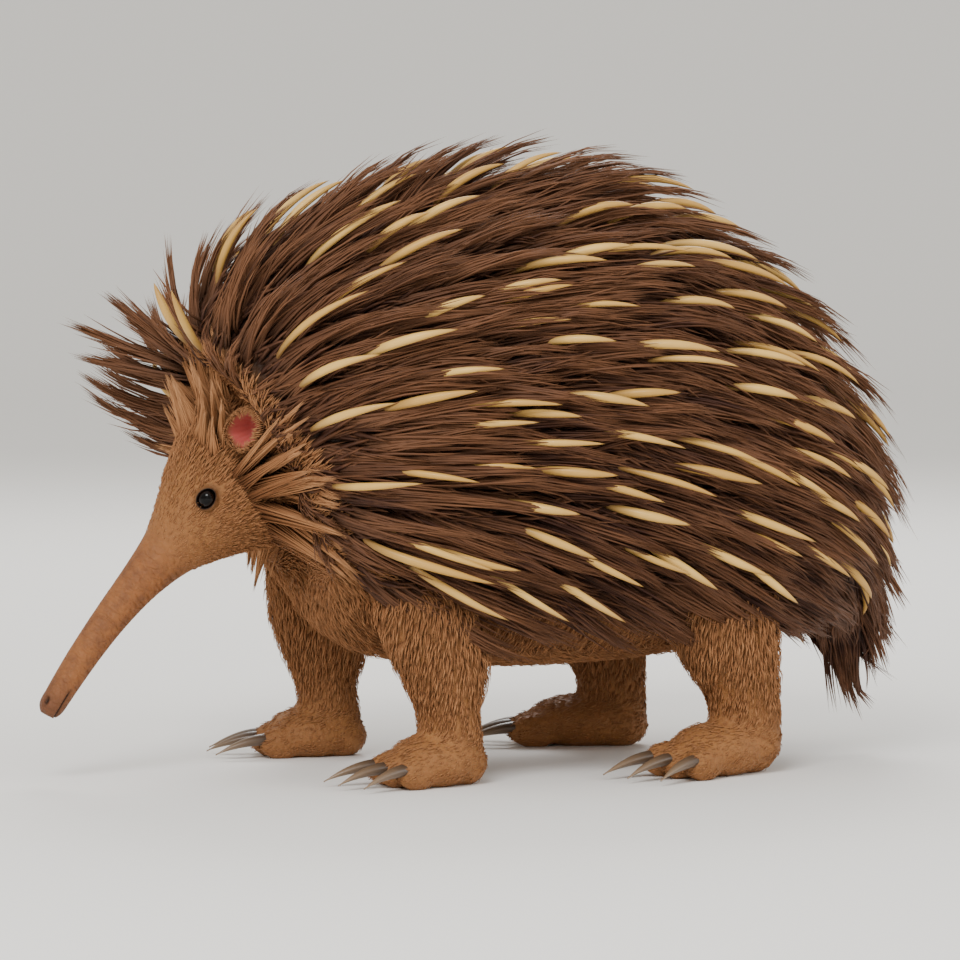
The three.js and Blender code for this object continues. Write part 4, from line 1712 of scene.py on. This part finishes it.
    def lids(self, points: Array) -> tuple[Array, Array]:
        """Wraps the skin round each eyeball as a lid with an almond opening and a fold.

        Inside the opening the skin sinks behind the ball, and outside it a shell lies over the
        ball and runs out into the face.

        Args:
            points: The skin's vertices.

        Returns:
            The moved vertices and the painted shade at the lids' edges and round them.
        """
        moved, line = points, np.zeros(len(points))
        size = self.eye.radius
        for side in SIDES.values():
            middle, along, out = self.eye.seat(side)
            local = moved - middle
            a, b, c = local @ along, local @ np.cross(out, along), local @ out
            r = np.hypot(a, b)
            close = (r < 16) & (c > -6)
            opening = np.hypot(a / self.eye.half_long, b / self.eye.half_tall)
            behind = np.sqrt(np.maximum(size**2 - r**2, 0)) - 1.6
            shell = np.sqrt(np.maximum((size + self.eye.lid) ** 2 - r**2, 0))
            wrapped = np.maximum(shell - 0.35 * bell(opening - 1.55, 0.16), c)
            target = np.where(opening < 1, behind, lerp(wrapped, c, smoothstep(r, 6.5, 10)))
            target = lerp(behind, target, smoothstep(opening, 0.9, 1.08))
            moved = np.where(close[:, None], moved + out * (target - c)[:, None], moved)
            shadow = bell(opening - 1.02, 0.12) + 0.4 * bell(opening - 1.3, 0.3)
            line = np.maximum(line, np.where(close, np.minimum(shadow, 1), 0))
        return moved, line

    def sculpt(self, points: Array) -> tuple[Array, dict[str, Array]]:
        """Presses the small forms into the skin.

        Args:
            points: The skin's vertices.

        Returns:
            The moved vertices and the float attributes of the skin.
        """
        s, height, _ = HEAD.arc_places(points)
        moved, line = points, np.zeros(len(points))
        for shape in (self.beak, self.nostrils, self.lids):
            moved, drawn = shape(moved)
            line = np.maximum(line, drawn)
        on_head = np.abs(height) < self.head_half
        values = {
            "beak": (1 - smoothstep(s, 88, 124)) * on_head,
            "tip": (1 - smoothstep(s, 0, 26)) * on_head,
            # Painted shade in the mouth's groove, the nostrils and at the lids' edges
            "line": line,
            # Painted shade on the skin under the long coat
            "dark": self.painted_coat_shade(points, s),
        }
        return moved, values

    @staticmethod
    def painted_coat_shade(points: Array, s: Array) -> Array:
        """How much painted shade the skin gets: 1 under the long coat, 0 on face, legs and belly.

        It is the mean of the trunk grid's own values round a point, weighted by a bell curve.

        Args:
            points: Design points.
            s: Their distances from the beak's tip along the head's arc.

        Returns:
            A share for each point.
        """
        k = np.linspace(0.3, 11, 44)
        phi = circle(48, -math.pi)[None, :]
        grid = TRUNK.grid(k, 48).reshape(-1, 3)
        limit = HEM - 0.1 + (math.pi - HEM) * smoothstep(k, 8.4, 9.2)[:, None]
        label = (1 - smoothstep(np.abs(phi) - limit, -0.06, 0.06)).ravel()
        found = []
        for table in square_distances(points, grid, 4000):
            weight = np.exp(-table / 120)
            found.append((weight @ label) / (weight.sum(1) + 0.02))
        return np.concatenate(found) * smoothstep(s, 168, 186)

    def build(self, material: bpy.types.Material) -> bpy.types.Object:
        """Makes the skin and keeps its attributes for the fur.

        Args:
            material: The skin's finish.

        Returns:
            The piece.
        """
        mesh = self.melt()
        self.refine(mesh)
        points, self.values = self.sculpt(design_points(mesh))
        points[:, 2] = np.maximum(points[:, 2], 0.05)
        mesh.vertices.foreach_set("co", world(points).astype(np.float32).ravel())
        set_values(mesh, self.values)
        mesh.polygons.foreach_set("use_smooth", np.ones(len(mesh.polygons), bool))
        mesh.update()
        flesh = ["beak", "head", "neck", "torso", "tail"]
        flesh += [f"{part}_{end}_{side}" for part in ("leg", "foot") for end in LIMBS for side in SIDES]
        return make_object("skin", mesh, material, tuple(flesh))


@dataclass
class ShortFur:
    """Short hair that lies flat on face, legs, feet and belly, seated on the skin itself.

    The face is what lies in front of the nape's x. It is denser by its own factor.
    """

    strands: int = 48500
    width: float = 0.85
    nape: float = -104.0
    face_density: float = 1.9
    eye_gap: float = 6.9
    steps: Array = field(default_factory=lambda: np.array([0, 0.5, 1.0]))

    def places(self, skin: bpy.types.Object, values: dict[str, Array]) -> tuple[Array, Array]:
        """Random places on the skin, evenly dense, off the beak, the soles and the long coat.

        Args:
            skin: The skin.
            values: Its attributes.

        Returns:
            Roots and ways out. Each root is a random mix of its triangle's corners.
        """
        mesh = skin.data
        mesh.calc_loop_triangles()
        corners = read(mesh.loop_triangles, "vertices", 3, np.int32)
        points = design_points(mesh)
        a, b, c = (points[corners[:, i]] for i in range(3))
        cross = np.cross(b - a, c - a)
        area = np.linalg.norm(cross, axis=1)
        s, height, _ = HEAD.arc_places(a)
        dark = values["dark"][corners[:, 0]]
        on_face = (a[:, 0] < self.nape) & (np.abs(height) < 60)
        wanted = area * (dark < 0.5) * np.where(on_face, self.face_density * (s > 106), a[:, 2] > 3)
        wanted = wanted * (values["line"][corners[:, 0]] < 0.3)
        for side in SIDES.values():
            wanted = wanted * (np.linalg.norm(a - Eye().seat(side)[0], axis=1) > self.eye_gap)
        chosen = RNG.choice(len(area), self.strands, p=wanted / wanted.sum())
        u, v = RNG.uniform(0, 1, (2, self.strands))
        flip = u + v > 1
        u, v = np.where(flip, 1 - u, u)[:, None], np.where(flip, 1 - v, v)[:, None]
        roots = a[chosen] * (1 - u - v) + b[chosen] * u + c[chosen] * v
        return roots, unit(cross[chosen])

    @staticmethod
    def flow(points: Array, out: Array) -> Array:
        """Which way the short fur lies.

        Back over the face, down the legs, forward over the toes and back on the belly. Each way
        is laid into the skin by taking its part along the way out from it.

        Args:
            points: Roots.
            out: Ways out.

        Returns:
            Ways of length one.
        """
        s = HEAD.arc_places(points)[0]
        pitch = HEAD.pitch - np.clip(s, 0, 200) / HEAD.radius
        face = np.stack([np.cos(pitch), 0 * s, np.sin(pitch)], -1)
        toes, down, belly = np.array([[-1.0, 0, -0.35], [-0.15, 0, -1.0], [1.0, 0, -0.1]])
        leg = lerp(toes, down, smoothstep(points[:, 2], 22, 34)[:, None])
        on_leg = smoothstep(np.abs(points[:, 1]), 42, 56) * (1 - smoothstep(points[:, 2], 95, 110))
        way = lerp(belly, leg, on_leg[:, None])
        ahead = (1 - smoothstep(points[:, 0], -118, -104))[:, None] * (points[:, 2] > 60)[:, None]
        way = lerp(way, face, ahead)
        return unit(way - out * (way * out).sum(1, keepdims=True))

    @staticmethod
    def unwrap(points: Array) -> Array:
        """Places on the OFBake map: the face, the belly and each leg unrolled round its own axis.

        Args:
            points: Roots.

        Returns:
            One place a root.
        """
        s, height, y = HEAD.arc_places(points)
        face = np.stack([np.arctan2(y, height) / (2 * math.pi) + 0.5, np.clip(s, 90, 200) / 200], -1) * 0.48
        belly = np.stack([points[:, 0] / 420 + 0.5, points[:, 1] / 260 + 0.5], -1) * 0.48
        uv = np.where((points[:, 0] > -110)[:, None], belly + np.array([0.5, 0.0]), face)
        for row, limb in enumerate(LIMBS.values()):
            for column, side in enumerate(SIDES.values()):
                dx, dy = points[:, 0] - limb.x + side * limb.stride, points[:, 1] - side * limb.out
                own = (np.hypot(dx, dy) < 62) & (points[:, 2] < 100) & (np.abs(points[:, 1]) > 40)
                across = (np.arctan2(dy, dx) / (2 * math.pi) + 0.5) * 0.23 + 0.25 * (2 * row + column)
                place = np.stack([across, 0.52 + points[:, 2] / 110 * 0.45], -1)
                uv = np.where(own[:, None], place, uv)
        return np.clip(uv, 0.003, 0.997)

    def build(self, skin: bpy.types.Object, values: dict[str, Array], material: bpy.types.Material) -> None:
        """Makes the short fur, each hair a thin blade bent back along the flow.

        Args:
            skin: The skin.
            values: Its attributes.
            material: The short fur's finish.
        """
        roots, out = self.places(skin, values)
        count = len(roots)
        way = self.flow(roots, out)
        s = HEAD.arc_places(roots)[0]
        on_face = (roots[:, 0] < self.nape) & (roots[:, 2] > 60)
        face_length = lerp(2.6, 9.0, smoothstep(s, 104, 175))
        body_length = lerp(3.4, 11.0, smoothstep(roots[:, 2], 10, 75))
        length = np.where(on_face, face_length, body_length) * RNG.uniform(0.7, 1.25, count)
        t = self.steps[None, :, None]
        wild = unit(RNG.normal(0, 1, (count, 3)))
        way = unit(way + 0.22 * (wild - out * (wild * out).sum(1, keepdims=True)))
        rise = RNG.uniform(0.16, 0.34, count)
        arc = out[:, None, :] * (np.sin(t * 2.2) * (rise * length)[:, None, None])
        lines = roots[:, None, :] - out[:, None, :] * 0.5
        lines = lines + way[:, None, :] * (t * length[:, None, None]) + arc
        lines[..., 2] = np.maximum(lines[..., 2], 0.3)
        tone = np.clip(RNG.beta(2, 4, count) * 0.9, 0, 1)
        width = self.width * RNG.uniform(0.7, 1.3, count) * lerp(0.7, 1.1, smoothstep(length, 3, 9))
        strands = Strands(lines, out, width, tone, self.unwrap(roots), self.steps)
        strands.of(on_face & Ears.clear(lines)).build("face_hair", "face_fur", material)
        strands.of(~on_face).build("leg_hair", "leg_fur", material, 2)


@dataclass
class Ears:
    """Small round cups on a short stem, turned out and a little forward."""

    at: float = 11.5
    angle: float = math.radians(58)
    height: float = 25.0
    width: float = 19.0
    depth: float = 12.0
    wall: float = 2.0
    hairs: int = 1500
    rows: int = 60
    columns: int = 64

    def seat(self, side: int) -> tuple[Array, Array, Array, Array]:
        """The cup's place and its three directions.

        Args:
            side: Which side.

        Returns:
            Its place, where it faces, across it and up it.
        """
        point, along, out = HEAD.seat(self.at, -side * self.angle, HEAD.fur)
        facing = unit(0.8 * out - 0.6 * along)
        across = unit(np.cross(facing, along))
        tall = np.cross(across, facing)
        return point + 4 * tall + out, facing, across, tall

    @staticmethod
    def clear(lines: Array) -> Array:
        """Which hairs keep out of two balls, one in each ear and one before its opening.

        Args:
            lines: Hairs' lines.

        Returns:
            True for each hair that keeps out.
        """
        middles = (lines[:, 1:] + lines[:, :-1]) / 2
        points = np.concatenate([lines, middles], axis=1)
        free = np.ones(len(lines), bool)
        for side in SIDES.values():
            place, facing, _, _ = Ears().seat(side)
            for ahead in (4.0, 14.0):
                distance = np.linalg.norm(points - (place + facing * ahead), axis=-1)
                free &= distance.min(axis=1) > 12.0
        return free

    def cup(self) -> tuple[Array, Array, Array]:
        """The cup's shape: a profile turned round its axis, with a rolled, slightly wavy and notched rim.

        Returns:
            The share along the profile, the distance from the axis and the height along it.
        """
        r, d, w = self.height / 2, self.depth, self.wall
        outline = np.array(
            [
                [0.01, -4],
                [r * 0.5, -3],
                [r * 0.82, d * 0.3],
                [r * 0.97, d * 0.72],
                [r, d * 0.9],
                [r - w * 0.5, d + 0.4],
                [r - w, d * 0.88],
                [r * 0.84 - w, d * 0.45],
                [r * 0.5 - w * 0.5, 1.2],
                [0.01, 0.4],
            ]
        )
        share = np.linspace(0, 1, self.rows)
        profile = spline(outline, share)[:, None, :]
        turn = circle(self.columns)[None, :]
        away, up = profile[..., 0], profile[..., 1]
        notch = 1 - 0.12 * bell(turn - math.pi, 0.5) * smoothstep(up, 2, 9)
        wave = 1 + 0.03 * np.sin(3 * turn + 0.6) * smoothstep(up, 4, 11)
        fold = 1 - 0.07 * np.sin(7 * turn) ** 2 * smoothstep(share, 0.62, 0.8)[:, None]
        return share, away * notch * wave * fold, up * (1 - 0.14 * np.cos(turn) * smoothstep(up, 3, 10))

    def down(self, points: Array, material: bpy.types.Material, name: str) -> None:
        """Short hair over the outside of the cup, lying towards the rim and a little past it.

        Args:
            points: The cup's grid.
            material: The short fur's finish.
            name: The piece's name.
        """
        rows = RNG.integers(4, 33, self.hairs)
        columns = RNG.integers(0, self.columns, self.hairs)
        root = points[rows, columns]
        way = unit(points[rows + 2, columns] - root)
        round_ = points[rows, (columns + 1) % self.columns] - root
        out = unit(np.cross(round_, way))
        out = out * np.sign(((root - points[0].mean(axis=0)) * out).sum(1, keepdims=True))
        steps = np.array([0, 0.5, 1.0])
        t = steps[None, :, None]
        length = RNG.uniform(2.5, 4.5, self.hairs)[:, None, None]
        rise = length * 0.3 * np.sin(2 * t) - 0.3
        lines = root[:, None, :] + way[:, None, :] * length * t + out[:, None, :] * rise
        tone = RNG.uniform(0.1, 0.8, self.hairs)
        uv = np.stack([columns / self.columns, rows / self.rows], -1) * 0.98 + 0.01
        width = RNG.uniform(0.5, 0.9, self.hairs)
        Strands(lines, out, width, tone, uv, steps).build(name, "face_fur", material)

    def build(self, material: bpy.types.Material, fur: bpy.types.Material) -> None:
        """Makes both ears with their down.

        Args:
            material: The ear's skin.
            fur: The short fur.
        """
        share, radius, height = self.cup()
        turn = circle(self.columns)[None, :, None]
        flat = radius * self.width / self.height
        inner = np.append((smoothstep(share, 0.6, 0.72)[:, None] + 0 * radius).ravel(), [0.0, 1.0])
        for name, side in SIDES.items():
            place, facing, across, tall = self.seat(side)
            local = radius[..., None] * np.cos(turn) * tall + flat[..., None] * np.sin(turn) * across
            points = place + local + height[..., None] * facing
            vertices, faces = closed_grid(points)
            mesh = tri_mesh(f"ear_cup_{name}", world(vertices), faces, {"tone": inner})
            make_object(f"ear_cup_{name}", mesh, material, (f"ear_{name}",))
            self.down(points, fur, f"ear_down_{name}")


@dataclass
class Claws:
    """Smooth curved horns, three on each foot."""

    taper: float = 1.7
    tip: float = 0.12
    ridge: float = 0.12
    rows: int = 28
    columns: int = 20

    def horn(self, limb: Limb, t: Array, turn: Array) -> Array:
        """A claw's grid about its toe's middle.

        It is a profile carried along a falling curve: an oval with a ridge on top that tapers as
        one less the distance to the power of the taper.

        Args:
            limb: The leg.
            t: Shares of the length, down the rows.
            turn: Angles, along the columns.

        Returns:
            The points by row and column.
        """
        length, wide, high, drop = limb.claw
        girth = np.maximum(1 - t**self.taper, self.tip)
        ridge = 1 + self.ridge * np.maximum(np.sin(turn), 0) ** 6
        y = (wide - 0.2) * girth * np.cos(turn) * (1 - 0.25 * (np.sin(turn) < 0) * t)
        z = limb.toe[2] + 0.6 - drop * t * t + (high - 0.2) * girth * np.sin(turn) * ridge
        x = -limb.toe[0] * 0.55 - length * t + 0 * turn
        return np.stack([x, y, z], -1)

    def build(self, material: bpy.types.Material) -> None:
        """Makes one piece a foot.

        Args:
            material: The claw's horn.
        """
        t = np.linspace(0, 1, self.rows)[:, None]
        turn = circle(self.columns)[None, :]
        tone = np.tile(np.append((t + 0 * turn).ravel(), [0.0, 1.0]), len(TOES))
        for end, limb in LIMBS.items():
            points = self.horn(limb, t, turn)
            for name, side in SIDES.items():
                vertices, faces = joined([closed_grid(limb.on_toe(points, toe, side)) for toe in TOES])
                mesh = tri_mesh(f"claws_{end}_{name}", world(vertices), faces, {"tone": tone})
                nodes = tuple(f"claw_{end}_{name}_{i}" for i in (1, 2, 3))
                make_object(f"claws_{end}_{name}", mesh, material, nodes)


# Studio


@dataclass
class Studio:
    """A wide pale floor that curves up like a bowl far off, soft lamps and the camera at the picture's angle.

    Its lengths are metres. A lamp is its place, power and size.
    """

    azimuth: float = math.radians(-20)
    elevation: float = math.radians(3.2)
    distance: float = 2.8
    aim: tuple[float, float, float] = (0.0014, 0.0, 0.1505)
    lens: float = 200.0
    sky: str = "#E9E7E3"
    sky_strength: float = 1.1
    lit: tuple[float, float, float] = (0.0, 0.0, 0.15)
    lamps: tuple[tuple[str, tuple[float, float, float], float, float], ...] = (
        ("key", (-1.3, -1.9, 1.9), 62, 1.1),
        ("fill", (1.9, -1.6, 1.1), 20, 1.8),
        ("rim", (0.7, 1.7, 1.7), 28, 1.0),
    )
    rows: int = 40
    columns: int = 96

    def floor(self, material: bpy.types.Material) -> None:
        """Makes the floor: flat for a few metres, then a wall that rises as a power of a smooth step.

        Args:
            material: The floor's finish.
        """
        share = np.linspace(0, 1, self.rows)[:, None]
        turn = circle(self.columns)[None, :]
        radius = 0.02 + 7 * np.minimum(share / 0.8, 1) + 1.5 * smoothstep(share, 0.7, 1)
        height = 3.0 * smoothstep(share, 0.55, 1.0) ** 1.5
        points = np.stack([radius * np.cos(turn), radius * np.sin(turn), height + 0 * turn], -1)
        points = points.reshape(-1, 3)
        faces = grid_faces(self.rows, self.columns, caps=False)[:, ::-1]
        around = np.arange(self.columns)
        hub = np.stack([around, (around + 1) % self.columns, np.full(self.columns, len(points))], -1)
        points = np.concatenate([points, np.zeros((1, 3))])
        mesh = tri_mesh("floor", points, np.concatenate([faces, hub]), {"tone": np.zeros(len(points))})
        floor = bpy.data.objects.new("floor", mesh)
        bpy.context.scene.collection.objects.link(floor)
        floor.data.materials.append(material)

    @staticmethod
    def look(thing: bpy.types.Object, place: Vector, way: Vector) -> None:
        """Sets up a lamp or a camera.

        Args:
            thing: The lamp or camera.
            place: Where it stands.
            way: Which way it looks.
        """
        thing.location = place
        thing.rotation_mode = "QUATERNION"
        thing.rotation_quaternion = way.to_track_quat("-Z", "Y")
        bpy.context.scene.collection.objects.link(thing)

    def build(self, material: bpy.types.Material) -> None:
        """Makes the floor, the lamps, the even light from all round and the camera.

        Args:
            material: The floor's finish.
        """
        self.floor(material)
        for name, place, power, size in self.lamps:
            data = bpy.data.lights.new(name, "AREA")
            data.energy = power
            data.size = size
            self.look(bpy.data.objects.new(name, data), Vector(place), Vector(self.lit) - Vector(place))
        sky = bpy.data.worlds.new("studio")
        sky.use_nodes = True
        background = sky.node_tree.nodes["Background"]
        background.inputs["Color"].default_value = linear(self.sky)
        background.inputs["Strength"].default_value = self.sky_strength
        bpy.context.scene.world = sky
        camera = bpy.data.objects.new("camera", bpy.data.cameras.new("camera"))
        camera.data.lens = self.lens
        level, up = math.cos(self.elevation), math.sin(self.elevation)
        back = Vector((math.sin(self.azimuth) * level, -math.cos(self.azimuth) * level, up))
        self.look(camera, Vector(self.aim) + back * self.distance, -back)
        bpy.context.scene.camera = camera


def main() -> None:
    """Builds the model piece by piece and writes down its size."""
    logging.basicConfig(level=logging.INFO, format="%(name)s: %(message)s")
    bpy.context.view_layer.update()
    skin = Skin()
    body = skin.build(BODY_SKIN.build())
    skin.eye.build(EYE_WET.build())
    fur = SHORT_FUR.build()
    Ears().build(EAR_SKIN.build(), fur)
    Claws().build(CLAW_HORN.build())
    ShortFur().build(body, skin.values, fur)
    Ruff().build(fur)
    Coat().build(GUARD_HAIR.build())
    Spines().build(SPINE_HORN.build())
    Studio().build(FLOOR.build())


if __name__ == "__main__":
    main()
